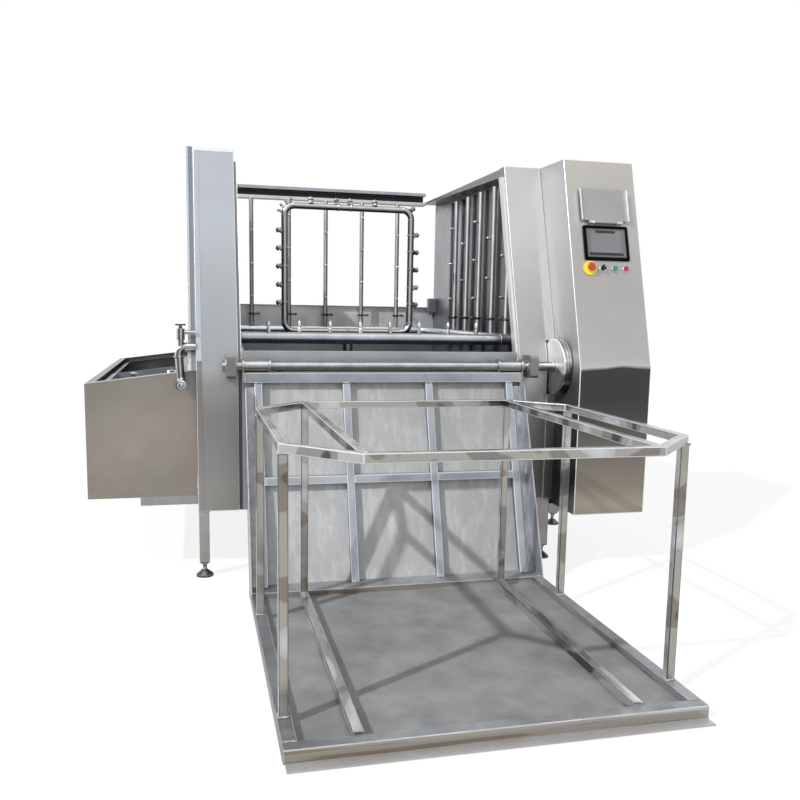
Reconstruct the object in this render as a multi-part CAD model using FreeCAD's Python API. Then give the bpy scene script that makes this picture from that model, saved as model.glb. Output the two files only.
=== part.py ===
import FreeCAD, Part
import math
import os

# Trash can cleaning machine. A bin rolls onto a cradle that hangs on a shaft across the front of an
# open wash chamber. A gear motor swings the cradle half a turn, so the bin comes down over a loop of
# spray nozzles while more nozzles on the chamber's walls wash it from outside.
# Millimetres. X to the right, Y to the back, Z up. While it is built, the shaft's axis is Y = 0 and
# the chamber's middle plane is X = 0. Every piece is then moved to the middle of the base.

V = FreeCAD.Vector
os.makedirs("parts", exist_ok=True)

# Clearances
seat_gap = 0.3
bore_clearance = 0.05
sleeve_clearance = 0.15
swing_clearance = 6.0

# Shaft and its bearings
shaft_height = 850.0
shaft_dia = 38.0
shaft_left_end = 652.0
bearing_at = 620.0
bearing_width = 36.0
bearing_height = 92.0
bearing_front = 44.0
bearing_corner = 14.0
sleeve_dia = 48.0
sleeve_inner_end = 468.0
lug_thick = 8.0
lug_radius = 30.0

# Drive
disc_radius = 119.0
disc_thick = 36.0
disc_hub_radius = 24.0
disc_hub_length = 6.0
disc_side_gap = 3.0
disc_bolt_dia = 12.0
disc_bolt_height = 8.0
disc_bolt_sunk = 2.0
disc_chamfer = 2.0
slot_clearance = 3.5
gearbox_size = 150.0
gearbox_width = 120.0
gearbox_from_wall = 30.0
gearbox_corner = 22.0
gearbox_shelf = 8.0
motor_radius = 66.0
motor_length = 210.0
motor_cowl_length = 50.0
motor_cowl_proud = 5.0
shaft_past_gearbox = 12.0

# Wash chamber
cradle_half = 570.0
chamber_bottom = 268.0
chamber_wall = 4.0
lining_half = 680.0
housing_half = 750.0
cover_inner_half = 588.0
front_face_y = 42.0
apex_height = 866.0
face_lean_deg = 17.7
chamber_top = 1714.0
seam_gap = 1.0
chamber_back = 1720.0
rim_drop = 38.0
rim_far_drop = 8.0
rim_inner_half = 600.0
rim_back_end = 1650.0
cover_depth = 60.0
cover_sheet_thick = 2.0
strip_recess = 10.0
strip_depth = 40.0
strip_top_drop = 48.0
front_wall_top = 906.0
front_wall_behind = 6.0
front_ledge_depth = 26.0
rear_wall_top = 1096.0
rear_wall_flange = 20.0
lining_fold_depth = 14.0
lining_fold_pitch = 190.0
lining_fold_width = 70.0
lining_fold_start = 24.0
rail_low = 1693.0
rail_high = 1765.0
rail_depth = 64.0
rail_flange = 18.0
side_skin = 30.0
side_skin_start = 340.0
side_skin_top = 1722.0
junction_box = (50.0, 40.0, 84.0)
junction_box_x = 655.0
junction_box_low = 1065.0

# Base frame and feet
tube = 40.0
leg_at = 728.0
leg_front_y = 62.0
leg_back_y = 1680.0
leg_bottom = 58.0
cross_rail_y = (260.0, 820.0, 1300.0, 1680.0)
cabinet_leg_x = 1021.0
cabinet_leg_y = 602.0
foot_radius = 34.0
foot_pad = 8.0
foot_cone = 18.0
foot_top_radius = 12.0
foot_stem_radius = 8.0
foot_nut_radius = 14.0
foot_nut_height = 9.0

# Control cabinet
cabinet_left = 758.0
cabinet_right = 1076.0
cabinet_apex_y = -184.0
cabinet_apex_height = 853.0
cabinet_bottom = 246.0
cabinet_top = 1714.0
cabinet_lean_deg = 16.25
cabinet_back = 640.0
cabinet_sheet = 3.0
door_thick = 20.0
door_margin = 12.0
bore_in_cabinet = 25.0

# Screen, cover and buttons, measured along the sloping face from the cabinet's front fold
screen_left = 818.0
screen_width = 203.0
screen_low = 458.0
screen_height = 150.0
screen_frame = 14.0
screen_proud = 8.0
glass_recess = 2.0
cover_side_gap = 3.0
cover_sheet = 2.0
cover_flange = 12.0
cover_hinge_up = 12.0
cover_hinge_out = 13.0
cover_length = 144.0
cover_pin_dia = 6.0
knuckle_length = 26.0
knuckle_at = (0.2, 0.8)
knuckle_radius = 6.5
curl_radius = 5.5
button_row = 424.0
e_stop_x = 837.0
selector_x = 894.0
start_x = 949.0
stop_x = 999.0
e_stop_plate_radius = 30.0
e_stop_plate_thick = 6.0
e_stop_collar_radius = 17.0
e_stop_collar_height = 12.0
e_stop_head_radius = 20.0
e_stop_head_height = 14.0
e_stop_head_corner = 5.6
e_stop_travel = 4.0
e_stop_stem_radius = 11.0
collar_radius = 15.0
collar_height = 6.0
button_radius = 11.5
button_proud = 4.0
button_travel = 3.0
knob_radius = 11.0
knob_base_height = 10.0
knob_stub_radius = 11.0
knob_bar = (6.0, 22.0, 12.0)

# Tank at the left
tank_left = 1169.0
tank_gap = 2.0
tank_front = 90.0
tank_back = 1700.0
tank_bottom = 322.0
tank_top_outer = 776.0
tank_top_inner = 828.0
tank_wall = 4.0
tank_rim_width = 34.0
tank_rim_sheet = 4.0
tank_ledge_width = 26.0
tank_ledge_drop = 22.0
tray_depth = 46.0
tray_sheet = 3.0
tray_length = 620.0
tray_side_gap = 6.0
tray_lap = 22.0
bracket_reach = 222.0
bracket_height = 33.0
bracket_width = 40.0
bracket_y = (110.0, 860.0, 1600.0)
float_radius = 42.0
float_bands = 10
float_arm = (160.0, 40.0)
float_arm_radius = 3.5
inlet_radius = 13.0
inlet_length = 20.0
inlet_body_length = 36.0
inlet_drop = 70.0

# Pipes
main_dia = 48.0
main_height = 952.0
main_half = 625.0
main_front = 240.0
main_rear = 1657.0
main_bend = 57.0
spray_dia = 25.0
loop_dia = 32.0
loop_half = 318.0
loop_y = 900.0
loop_low = 965.0
loop_high = 1572.0
loop_bend = 45.0
riser_foot_radius = 45.0
riser_foot_thick = 6.0
front_nozzles = 8
front_nozzle_pitch = 130.0
front_nozzle_length = 52.0
front_nozzle_flat = 8.5
rear_pipes = 5
rear_pipe_pitch = 214.0
side_pipe_y = (328.0, 525.0, 722.0, 919.0, 1116.0)
side_pipe_top = 1655.0
pipe_cover_gap = 5.0
nozzle_pitch = 186.0
nozzle_first = 1140.0
nozzle_flat = 7.0
nozzle_length = 24.0
nozzle_neck = 0.62
nozzle_taper = 0.55
fan_nozzle_flat = 7.0
loop_nozzle_flat = 11.0
loop_nozzle_length = 27.0
corner_nozzle_deg = 45.0
union_height = 1036.0
union_radius = 21.0
union_thick = 13.0
wing_span = 40.0
wing_reach = 16.0
wing_thick = 7.0
wing_width = 16.0
wing_bolt_flat = 5.0
loop_side_nozzles = 5
loop_side_first = 1103.0
loop_side_pitch = 87.5
loop_top_nozzle_x = (-190.0, -62.0, 5.0, 130.0)
fan_angles_deg = (100.0, 122.0, 144.0, 166.0)

# Pump under the chamber
pump_x = -500.0
pump_y = 1450.0
pump_axis_height = 165.0
pump_radius = 80.0
pump_width = 60.0
pump_motor_radius = 70.0
pump_motor_length = 260.0
pump_motor_cowl = 40.0
pump_cowl_proud = 4.0
pump_eye_length = 12.0
pump_eye_wall = 8.0
motor_foot_width = 30.0
motor_foot_half = 60.0
motor_foot_at = (40.0, 190.0)
motor_foot_height = 40.0
tray_strap = 30.0
tray_plate = 4.0
tray_margin = 40.0
feed_height = 850.0
branch_height = 345.0
suction_x = -860.0
drain_y = 500.0
drain_dia = 50.0
drain_length = 66.0

# Pipe end beside the left housing
outlet_x = -816.0
outlet_y = 66.0
outlet_dia = 32.0
outlet_bend = 30.0
outlet_lean = 8.0
outlet_low = 773.0
outlet_high = 921.0
ferrule_radius = 21.0
ferrule_thick = 7.0
valve_from_run = 9.0
valve_neck_radius = 12.0
valve_neck_height = 26.0
valve_stem_radius = 7.0
valve_body_radius = 16.0
valve_body_height = 43.0
valve_branch_radius = 8.0
valve_branch_height = 55.0
handle_length = 36.0
handle_thick = 7.0
handle_width = 9.0
handle_stem_height = 11.0
clamp_below_bend = 4.0
pipe_end = 4.0

# Cradle
panel_lean_deg = 17.7
top_tube = 40.0
panel_tube = 30.0
upright_x = (-517.0, -170.0, 170.0, 517.0)
mid_rail_height = 418.0
panel_sheet = 3.0
platform_low = 3.0
rim_height = 37.0
rim_width = 40.0
platform_front = -1442.0
platform_back = -315.0
back_tube_depth = 92.0
deck_height = 18.0
deck_sheet = 4.0
guide_at = 380.0
guide_tube = 30.0
lip_reach = 40.0
lip_thick = 4.0
lip_half = 565.0
flange_sheet = 4.0
flange_below_tube = 17.7
flange_reach_top = 40.0
flange_reach_low = 78.0
edge_strip = 34.0
edge_strip_thick = 12.0
edge_strip_behind = 12.0
cage_tube = 25.0
cage_top = 749.0
cage_side_half = 551.0
cage_side_front = -1268.0
cage_side_back = -525.0
cage_end_half = 380.0
cage_end_front = -1443.0
cage_end_back = -353.0

# Derived places
shaft_r = shaft_dia / 2
opening_half = cradle_half + swing_clearance
face_slope = math.tan(math.radians(face_lean_deg))
cabinet_slope = math.tan(math.radians(cabinet_lean_deg))
panel_slope = math.tan(math.radians(panel_lean_deg))
disc_left = cabinet_left - disc_side_gap - disc_thick
top_tube_high = shaft_height - sleeve_dia / 2 - seat_gap
top_tube_low = top_tube_high - top_tube
flange_top = top_tube_low - flange_below_tube
gearbox_left = cabinet_left + cabinet_sheet + gearbox_from_wall
shaft_right_end = gearbox_left + gearbox_width + shaft_past_gearbox
lip_front = platform_front - lip_reach
sleeve_outer_end = cradle_half + lug_thick
slot_left = disc_left - disc_side_gap
slot_reach = disc_radius + disc_bolt_height - disc_bolt_sunk + slot_clearance
housing_right = cabinet_left - seam_gap
origin_shift = V((tank_left - cabinet_right) / 2, -(lip_front + chamber_back) / 2, 0)


def bar(x0, x1, y0, y1, z0, z1):
    """A block between two corners."""
    low = V(min(x0, x1), min(y0, y1), min(z0, z1))
    size = V(abs(x1 - x0), abs(y1 - y0), abs(z1 - z0))
    return Part.makeBox(size.x, size.y, size.z, low)


def rod(x, y, z, direction, radius, length):
    """A round rod from a point along a direction."""
    return Part.makeCylinder(radius, length, V(x, y, z), direction)


def sleeve(x, y, z, direction, outer, inner, length):
    """A round sleeve with a bore."""
    return rod(x, y, z, direction, outer, length).cut(rod(x, y, z, direction, inner, length))


def extrude(points, along):
    """A flat outline pulled along a vector."""
    wire = Part.makePolygon(points + [points[0]])
    return Part.Face(wire).extrude(along)


def side_shape(points, x0, x1):
    """An outline in Y and Z, pulled from x0 to x1."""
    low, high = min(x0, x1), max(x0, x1)
    return extrude([V(low, y, z) for y, z in points], V(high - low, 0, 0))


def sheet_box(points, x0, x1, sheet):
    """A folded sheet box: two flat sides and a strip along each edge of the outline."""
    low, high = min(x0, x1), max(x0, x1)
    pieces = [side_shape(points, low, low + sheet), side_shape(points, high - sheet, high)]
    count = len(points)
    area = sum(points[k][0] * points[(k + 1) % count][1] - points[(k + 1) % count][0] * points[k][1]
               for k in range(count))
    turn = 1 if area > 0 else -1
    inner = []
    for k in range(count):
        before, here, after = (V(*points[(k + j) % count], 0) for j in (-1, 0, 1))
        one = (here - before).normalize()
        two = (after - here).normalize()
        inward = (V(-one.y, one.x, 0) * turn + V(-two.y, two.x, 0) * turn).normalize()
        place = here + inward * (sheet / math.cos(one.getAngle(two) / 2))
        inner.append((place.x, place.y))
    for k in range(count):
        j = (k + 1) % count
        pieces.append(side_shape([points[k], points[j], inner[j], inner[k]], low + sheet, high - sheet))
    return pieces


def front_shape(points, y0, y1):
    """An outline in X and Z, pulled from y0 to y1."""
    return extrude([V(x, y0, z) for x, z in points], V(0, y1 - y0, 0))


def plan_shape(points, z0, z1):
    """An outline in X and Y, pulled from z0 to z1."""
    return extrude([V(x, y, z0) for x, y in points], V(0, 0, z1 - z0))


def straight(start, end, radius):
    """A straight run of pipe."""
    run = end - start
    return Part.makeCylinder(radius, run.Length, start, run)


def pipe_run(points, radius, bend):
    """Straight runs of pipe joined by round elbows, each run and elbow its own solid."""
    pieces = []
    at = points[0]
    for before, corner, after in zip(points, points[1:], points[2:]):
        way_in = (corner - before).normalize()
        way_out = (after - corner).normalize()
        turn = way_in.getAngle(way_out)
        cut_back = bend * math.tan(turn / 2)
        start = corner - way_in * cut_back
        pieces.append(straight(at, start, radius))
        inward = (way_out - way_in * way_out.dot(way_in)).normalize()
        centre = start + inward * bend
        disc = Part.Face(Part.Wire(Part.makeCircle(radius, start, way_in)))
        pieces.append(disc.revolve(centre, way_in.cross(way_out), math.degrees(turn)))
        at = corner + way_out * cut_back
    pieces.append(straight(at, points[-1], radius))
    return pieces


def hexagon(at, direction, flat):
    """A hexagon across a direction, with the given half width over its flats."""
    direction = V(direction).normalize()
    side = direction.cross(V(1, 0, 0))
    if side.Length < 0.5:
        side = direction.cross(V(0, 1, 0))
    side.normalize()
    other = direction.cross(side)
    reach = flat / math.cos(math.pi / 6)
    turns = [k * math.pi / 3 for k in range(6)]
    points = [at + side * (reach * math.cos(t)) + other * (reach * math.sin(t)) for t in turns]
    return Part.makePolygon(points + [points[0]])


def nozzle(at, direction, length, flat=nozzle_flat):
    """A hexagonal spray nozzle whose front third tapers to its tip."""
    direction = V(direction).normalize()
    neck = at + direction * (length * nozzle_neck)
    tip = at + direction * length
    rings = [hexagon(at, direction, flat), hexagon(neck, direction, flat)]
    body = Part.makeLoft(rings, True, True)
    nose = Part.makeLoft([rings[1], hexagon(tip, direction, flat * nozzle_taper)], True, True)
    return body.fuse(nose).removeSplitter()


def lathe(at, outline):
    """A round piece about the vertical, from radii and heights."""
    points = [V(at.x + r, at.y, at.z + h) for r, h in outline]
    face = Part.Face(Part.makePolygon(points + [points[0]]))
    return face.revolve(at, V(0, 0, 1), 360)


def on_face(shape):
    """Leans a piece back with the cabinet's sloping face."""
    shape.rotate(V(0, cabinet_apex_y, cabinet_apex_height), V(1, 0, 0), -cabinet_lean_deg)
    return shape


def both_sides(shape):
    """A piece and its mirror image across the middle plane."""
    return [shape, shape.mirror(V(0, 0, 0), V(1, 0, 0))]


def save(name, shapes):
    """Moves a node's solids to the part's own origin and writes them."""
    solids = []
    for shape in shapes:
        solids.extend(shape.Solids)
    moved = []
    for solid in solids:
        solid = solid.copy()
        solid.translate(origin_shift)
        moved.append(solid)
    result = moved[0] if len(moved) == 1 else Part.makeCompound(moved)
    result.exportStep("parts/" + name + ".step")


def face_y(height):
    """The front face's depth at a height: upright below the fold, leaning back above it."""
    return front_face_y + max(0.0, height - apex_height) * face_slope


def panel_y(height):
    """The depth of the cradle's back panel, over the front of its uprights, at a height."""
    return -top_tube / 2 - (top_tube_low - height) * panel_slope


def cabinet_y(height):
    """The cabinet's front depth at a height."""
    return cabinet_apex_y + max(0.0, height - cabinet_apex_height) * cabinet_slope


def sloping_tube(x0, x1, low, high, thick, behind=0.0):
    """A tube that follows the cradle's panel from one height to another."""
    return side_shape([(panel_y(low) + behind, low), (panel_y(high) + behind, high),
                       (panel_y(high) + behind + thick, high), (panel_y(low) + behind + thick, low)], x0, x1)


def leaning_cover(x0, x1, recess, low, top, depth):
    """Two straight lengths of front cover, upright below the fold and leaning back above it."""
    front = front_face_y + recess
    slope_top = face_y(top) + recess
    back = front + depth
    lower = sheet_box([(front, low), (front, apex_height), (back, apex_height), (back, low)], x0, x1,
                      cover_sheet_thick)
    upper = sheet_box([(front, apex_height), (slope_top, top), (slope_top + depth, top),
                       (back, apex_height)], x0, x1, cover_sheet_thick)
    return lower + upper


def base_frame():
    """Welded square tube: four chamber legs, one cabinet leg and the rails that join them."""
    half = tube / 2
    rail_z = (chamber_bottom - tube, chamber_bottom)
    legs = []
    for y in (leg_front_y, leg_back_y):
        legs += both_sides(bar(leg_at - half, leg_at + half, y - half, y + half, leg_bottom, chamber_bottom))
    legs.append(bar(cabinet_leg_x - half, cabinet_leg_x + half, cabinet_leg_y - half, cabinet_leg_y + half,
                    leg_bottom, cabinet_bottom - tube))
    rails = both_sides(bar(leg_at - half, leg_at + half, leg_front_y + half, leg_back_y - half, *rail_z))
    rails += [bar(-leg_at + half, leg_at - half, y - half, y + half, *rail_z) for y in cross_rail_y]
    cabinet_z = (cabinet_bottom - tube, cabinet_bottom)
    for y in (leg_front_y, cabinet_leg_y):
        rails.append(bar(leg_at + half, cabinet_right - door_thick, y - half, y + half, *cabinet_z))
    save("base_frame", legs + rails)


def levelling_feet():
    """Screw feet with a round pad, a cone and a lock nut under each leg."""
    places = [(leg_at, leg_front_y), (-leg_at, leg_front_y), (leg_at, leg_back_y), (-leg_at, leg_back_y),
              (cabinet_leg_x, cabinet_leg_y)]
    outline = [(0, 0), (foot_radius, 0), (foot_radius, foot_pad), (foot_top_radius, foot_pad + foot_cone),
               (foot_stem_radius, foot_pad + foot_cone), (foot_stem_radius, leg_bottom - foot_nut_height),
               (foot_nut_radius, leg_bottom - foot_nut_height), (foot_nut_radius, leg_bottom),
               (0, leg_bottom)]
    save("levelling_feet", [lathe(V(x, y, 0), outline) for x, y in places])


def wash_chamber():
    """Floor, front wall with its folded ledge, and the low rear wall, as welded sheet."""
    wall = chamber_wall
    half = opening_half
    front = front_face_y + front_wall_behind
    covers_back = front_face_y + cover_depth
    low = chamber_bottom + wall
    floor = bar(-lining_half, lining_half, covers_back, chamber_back, chamber_bottom, low)
    threshold = bar(-half, half, front, covers_back, chamber_bottom, low)
    front_wall = bar(-half, half, front, front + wall, low, front_wall_top)
    ledge = bar(-half, half, front + wall, front + wall + front_ledge_depth, front_wall_top - wall,
                front_wall_top)
    rear_wall = bar(-lining_half, lining_half, chamber_back - wall, chamber_back, low, rear_wall_top)
    flange = bar(-lining_half, lining_half, chamber_back - wall - rear_wall_flange, chamber_back - wall,
                 rear_wall_top - wall, rear_wall_top)
    save("wash_chamber", [floor, threshold, front_wall, ledge, rear_wall, flange])


def wall_linings():
    """Folded inner sheets: flat bays between shallow upright folds that stiffen the wall."""
    start = face_y(chamber_top) + cover_depth + lining_fold_start
    bays = []
    y = start
    while y + lining_fold_pitch < rim_back_end:
        fold = bar(lining_half - lining_fold_depth, lining_half, y, y + lining_fold_width,
                   chamber_bottom + chamber_wall, chamber_top - rim_drop)
        bays += both_sides(fold)
        y += lining_fold_pitch
    save("wall_linings", bays)


def side_walls():
    """Double-skinned side walls, the overhanging top rim, and a shallow outer skin."""

    def profile(behind):
        return [(front_face_y + behind, chamber_bottom), (face_y(apex_height) + behind, apex_height),
                (face_y(chamber_top) + behind, chamber_top), (chamber_back, chamber_top),
                (chamber_back, chamber_bottom)]

    rim_y = face_y(chamber_top) + cover_depth
    for name, side in (("left_side_wall", -1), ("right_side_wall", 1)):
        outer = side * housing_half if side < 0 else slot_left
        wall = sheet_box(profile(cover_depth), side * lining_half, outer, cover_sheet_thick)
        rim = side_shape([(rim_y, chamber_top - rim_drop), (rim_y, chamber_top), (chamber_back, chamber_top),
                          (chamber_back, chamber_top - rim_far_drop)],
                         side * rim_inner_half, side * lining_half)
        pieces = wall + [rim]
        if side > 0:
            pieces += sheet_box(profile(slot_reach - front_face_y), slot_left, housing_right,
                                cover_sheet_thick)
        else:
            skin_low = tank_top_inner + seat_gap
            front_low = side_skin_start - (side_skin_top - skin_low) * face_slope
            pieces.append(side_shape([(front_low, skin_low), (side_skin_start, side_skin_top),
                                      (chamber_back, side_skin_top), (chamber_back, skin_low)],
                                     -housing_half, -housing_half - side_skin))
        save(name, pieces)


def front_covers():
    """Folded covers in front of the side walls. The right one leaves a slot for the drive disc."""
    save("left_front_cover", leaning_cover(-housing_half, -cover_inner_half, 0, chamber_bottom, chamber_top,
                                           cover_depth))
    pieces = leaning_cover(cover_inner_half, slot_left, 0, chamber_bottom, chamber_top, cover_depth)
    depth = slot_reach - front_face_y
    drop = math.sqrt(slot_reach ** 2 - front_face_y ** 2)
    pieces.append(bar(slot_left, housing_right, front_face_y, slot_reach, chamber_bottom,
                      shaft_height - drop))
    level_y = front_face_y - (apex_height - shaft_height) * face_slope
    steep = 1 + face_slope ** 2
    rise = (math.sqrt(slot_reach ** 2 * steep - level_y ** 2) - level_y * face_slope) / steep
    low = shaft_height + rise
    pieces.append(side_shape([(face_y(low), low), (face_y(chamber_top), chamber_top),
                              (face_y(chamber_top) + depth, chamber_top), (face_y(low) + depth, low)],
                             slot_left, housing_right))
    save("right_front_cover", pieces)


def seal_strips():
    """Narrow strips inside the covers that the cradle closes against."""
    pieces = []
    for piece in leaning_cover(opening_half, cover_inner_half, strip_recess, chamber_bottom,
                               chamber_top - strip_top_drop, strip_depth):
        pieces += both_sides(piece)
    save("seal_strips", pieces)


def rear_rail():
    """A channel across the back between the top rims, open to the front."""
    half = rim_inner_half
    front = chamber_back - rail_depth
    face = chamber_back - chamber_wall
    web = bar(-half, half, face, chamber_back, rail_low, rail_high)
    top = bar(-half, half, front, face, rail_high - rail_flange, rail_high)
    low = bar(-half, half, front, face, rail_low, rail_low + rail_flange)
    save("rear_rail", [web, top, low])


def small_box():
    """A sealed cable box on the rear wall."""
    width, depth, height = junction_box
    back = chamber_back - chamber_wall - rear_wall_flange
    body = bar(junction_box_x - width / 2, junction_box_x + width / 2, back - depth, back,
               junction_box_low, junction_box_low + height)
    save("junction_box", [body])


def bearings():
    """Two bearing blocks on the covers' faces, with rounded corners and the shaft's bore."""
    pieces = []
    for side in (-1, 1):
        x = side * bearing_at
        block = bar(x - bearing_width / 2, x + bearing_width / 2, -bearing_front, front_face_y,
                    shaft_height - bearing_height / 2, shaft_height + bearing_height / 2)
        front_edges = [e for e in block.Edges
                       if abs(e.CenterOfMass.y + bearing_front) < 1e-6 and abs(e.CenterOfMass.x - x) < 1e-6]
        block = block.makeFillet(bearing_corner, front_edges)
        bore = rod(x - bearing_width, 0, shaft_height, V(1, 0, 0), shaft_r + bore_clearance,
                   bearing_width * 2)
        pieces.append(block.cut(bore))
    save("shaft_bearings", pieces)


def cabinet():
    """The control cabinet as folded sheet, open at the back, where a door closes it."""
    t = cabinet_sheet
    back = cabinet_back - door_thick
    left, right = cabinet_left, cabinet_right
    profile = [(cabinet_apex_y, cabinet_bottom), (cabinet_apex_y, cabinet_apex_height),
               (cabinet_y(cabinet_top), cabinet_top), (back, cabinet_top), (back, cabinet_bottom)]
    left_wall = side_shape(profile, left, left + t)
    bore = rod(left - t, 0, shaft_height, V(1, 0, 0), bore_in_cabinet, 3 * t)
    right_wall = side_shape(profile, right - t, right)
    inner = (left + t, right - t)
    front_low = bar(*inner, cabinet_apex_y, cabinet_apex_y + t, cabinet_bottom, cabinet_apex_height)
    top_y = cabinet_y(cabinet_top)
    front_high = side_shape([(cabinet_apex_y, cabinet_apex_height), (top_y, cabinet_top),
                             (top_y + t, cabinet_top), (cabinet_apex_y + t, cabinet_apex_height)], *inner)
    top = bar(*inner, cabinet_y(cabinet_top) + t, back, cabinet_top - t, cabinet_top)
    floor = bar(*inner, cabinet_apex_y + t, back, cabinet_bottom, cabinet_bottom + t)
    save("control_cabinet", [left_wall.cut(bore), right_wall, front_low, front_high, top, floor])
    m = door_margin
    door = [bar(left, right, cabinet_back, cabinet_back + t, cabinet_bottom, cabinet_top),
            bar(left, left + m, back, cabinet_back, cabinet_bottom, cabinet_top),
            bar(right - m, right, back, cabinet_back, cabinet_bottom, cabinet_top),
            bar(left + m, right - m, back, cabinet_back, cabinet_bottom, cabinet_bottom + m),
            bar(left + m, right - m, back, cabinet_back, cabinet_top - m, cabinet_top)]
    save("cabinet_back_door", door)


def screen():
    """Touch screen: a raised frame on the sloping face and the glass set into it."""
    y = cabinet_apex_y
    z = cabinet_apex_height + screen_low
    right = screen_left + screen_width
    frame = bar(screen_left, right, y - screen_proud, y, z, z + screen_height)
    hole = bar(screen_left + screen_frame, right - screen_frame, y - screen_proud, y,
               z + screen_frame, z + screen_height - screen_frame)
    glass = bar(screen_left + screen_frame, right - screen_frame, y - screen_proud + glass_recess, y,
                z + screen_frame, z + screen_height - screen_frame)
    save("screen_bezel", [on_face(frame.cut(hole))])
    save("screen_panel", [on_face(glass)])


def screen_cover():
    """Folded cover that flips down over the screen on a pin held by two knuckles."""
    hinge_z = cabinet_apex_height + screen_low + screen_height + cover_hinge_up
    hinge_y = cabinet_apex_y - cover_hinge_out
    left = screen_left - cover_side_gap - cover_sheet
    right = screen_left + screen_width + cover_side_gap + cover_sheet
    pin_r = cover_pin_dia / 2
    low = hinge_z + knuckle_radius + seat_gap
    high = hinge_z + cover_length
    plate = bar(left, right, hinge_y - cover_sheet / 2, hinge_y + cover_sheet / 2, low, high)
    flanges = []
    for x in (left, right - cover_sheet):
        flanges.append(bar(x, x + cover_sheet, hinge_y - cover_flange, hinge_y - cover_sheet / 2, low, high))
    body = plate.fuse(flanges)
    half = (right - left) / 2
    middle = left + half
    centres = [left + share * (right - left) for share in knuckle_at]
    curl_left = centres[0] + knuckle_length / 2 + seat_gap
    curl_right = centres[1] - knuckle_length / 2 - seat_gap
    curl = rod(curl_left, hinge_y, hinge_z, V(1, 0, 0), curl_radius, curl_right - curl_left)
    tab = bar(curl_left, curl_right, hinge_y - cover_sheet / 2, hinge_y + cover_sheet / 2, hinge_z, low)
    bore = rod(middle - half, hinge_y, hinge_z, V(1, 0, 0), pin_r + bore_clearance, 2 * half)
    body = body.fuse([curl, tab]).cut(bore).removeSplitter()
    save("screen_cover", [on_face(body)])
    knuckles = []
    for x in centres:
        start = x - knuckle_length / 2
        ear = rod(start, hinge_y, hinge_z, V(1, 0, 0), knuckle_radius, knuckle_length)
        foot = bar(start, start + knuckle_length, hinge_y, cabinet_apex_y,
                   hinge_z - knuckle_radius, hinge_z)
        knuckles.append(ear.fuse(foot).removeSplitter())
    pin_start = centres[0] + knuckle_length / 2
    pin = rod(pin_start, hinge_y, hinge_z, V(1, 0, 0), pin_r, centres[1] - centres[0] - knuckle_length)
    save("cover_hinge", [on_face(piece) for piece in knuckles + [pin]])


def buttons():
    """Emergency stop, selector and two push buttons in a row under the screen."""
    y = cabinet_apex_y
    z = cabinet_apex_height + button_row
    out = V(0, -1, 0)
    plate = rod(e_stop_x, y, z, out, e_stop_plate_radius, e_stop_plate_thick)
    collar = rod(e_stop_x, y - e_stop_plate_thick, z, out, e_stop_collar_radius, e_stop_collar_height)
    stem_bore = rod(e_stop_x, y, z, out, e_stop_stem_radius + bore_clearance,
                    e_stop_plate_thick + e_stop_collar_height)
    save("e_stop_base", [on_face(plate.fuse(collar).cut(stem_bore).removeSplitter())])
    head_y = y - e_stop_plate_thick - e_stop_collar_height - e_stop_travel - seat_gap
    head = rod(e_stop_x, head_y, z, out, e_stop_head_radius, e_stop_head_height)
    rim = [e for e in head.Edges if abs(e.CenterOfMass.y - (head_y - e_stop_head_height)) < 1e-6]
    head = head.makeChamfer(e_stop_head_corner, rim)
    stem = rod(e_stop_x, head_y, z, V(0, 1, 0), e_stop_stem_radius, e_stop_collar_height + e_stop_travel)
    save("e_stop_button", [on_face(head.fuse(stem).removeSplitter())])
    collars = []
    for x in (selector_x, start_x, stop_x):
        ring = rod(x, y, z, out, collar_radius, collar_height)
        hole = rod(x, y, z, out, button_radius + bore_clearance * 2, collar_height)
        collars.append(on_face(ring.cut(hole)))
    save("button_collars", collars)
    for name, x in (("start_button", start_x), ("stop_button", stop_x)):
        foot = button_travel + seat_gap
        button = rod(x, y - foot, z, out, button_radius, collar_height + button_proud - foot)
        save(name, [on_face(button)])
    base = rod(selector_x, y - collar_height - seat_gap, z, out, knob_radius, knob_base_height)
    stub = rod(selector_x, y - seat_gap, z, out, knob_stub_radius, collar_height)
    width, height, depth = knob_bar
    grip = bar(selector_x - width / 2, selector_x + width / 2,
               y - collar_height - seat_gap - knob_base_height - depth / 2,
               y - collar_height - seat_gap - knob_base_height / 2, z - height / 2, z + height / 2)
    save("selector_knob", [on_face(base.fuse([stub, grip]).removeSplitter())])


def drive():
    """Hollow-shaft gear motor in the cabinet, with its stand."""
    half = gearbox_size / 2
    left, right = gearbox_left, gearbox_left + gearbox_width
    box = bar(left, right, -half, half, shaft_height - half, shaft_height + half)
    upright = [e for e in box.Edges if abs(e.CenterOfMass.x - (left + right) / 2) < 1e-6]
    box = box.makeFillet(gearbox_corner, upright)
    bore = rod(left, 0, shaft_height, V(1, 0, 0), shaft_r + bore_clearance, gearbox_width)
    middle = (left + right) / 2
    motor = rod(middle, half, shaft_height, V(0, 1, 0), motor_radius, motor_length)
    cowl = rod(middle, half + motor_length, shaft_height, V(0, 1, 0), motor_radius + motor_cowl_proud,
               motor_cowl_length)
    save("drive_gearmotor", [box.cut(bore), motor, cowl])
    floor = cabinet_bottom + cabinet_sheet
    shelf_high = shaft_height - half
    shelf = bar(left, right, -half, half, shelf_high - gearbox_shelf, shelf_high)
    posts = [bar(left, right, y, y + tube, floor, shelf_high - gearbox_shelf) for y in (-half, half - tube)]
    save("gearmotor_stand", [shelf] + posts)


def tank_top(x):
    """The height of the tank's sloping top edge at a place across it."""
    share = (x + tank_left) / (tank_left - housing_half - tank_gap)
    return tank_top_outer + share * (tank_top_inner - tank_top_outer)


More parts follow.
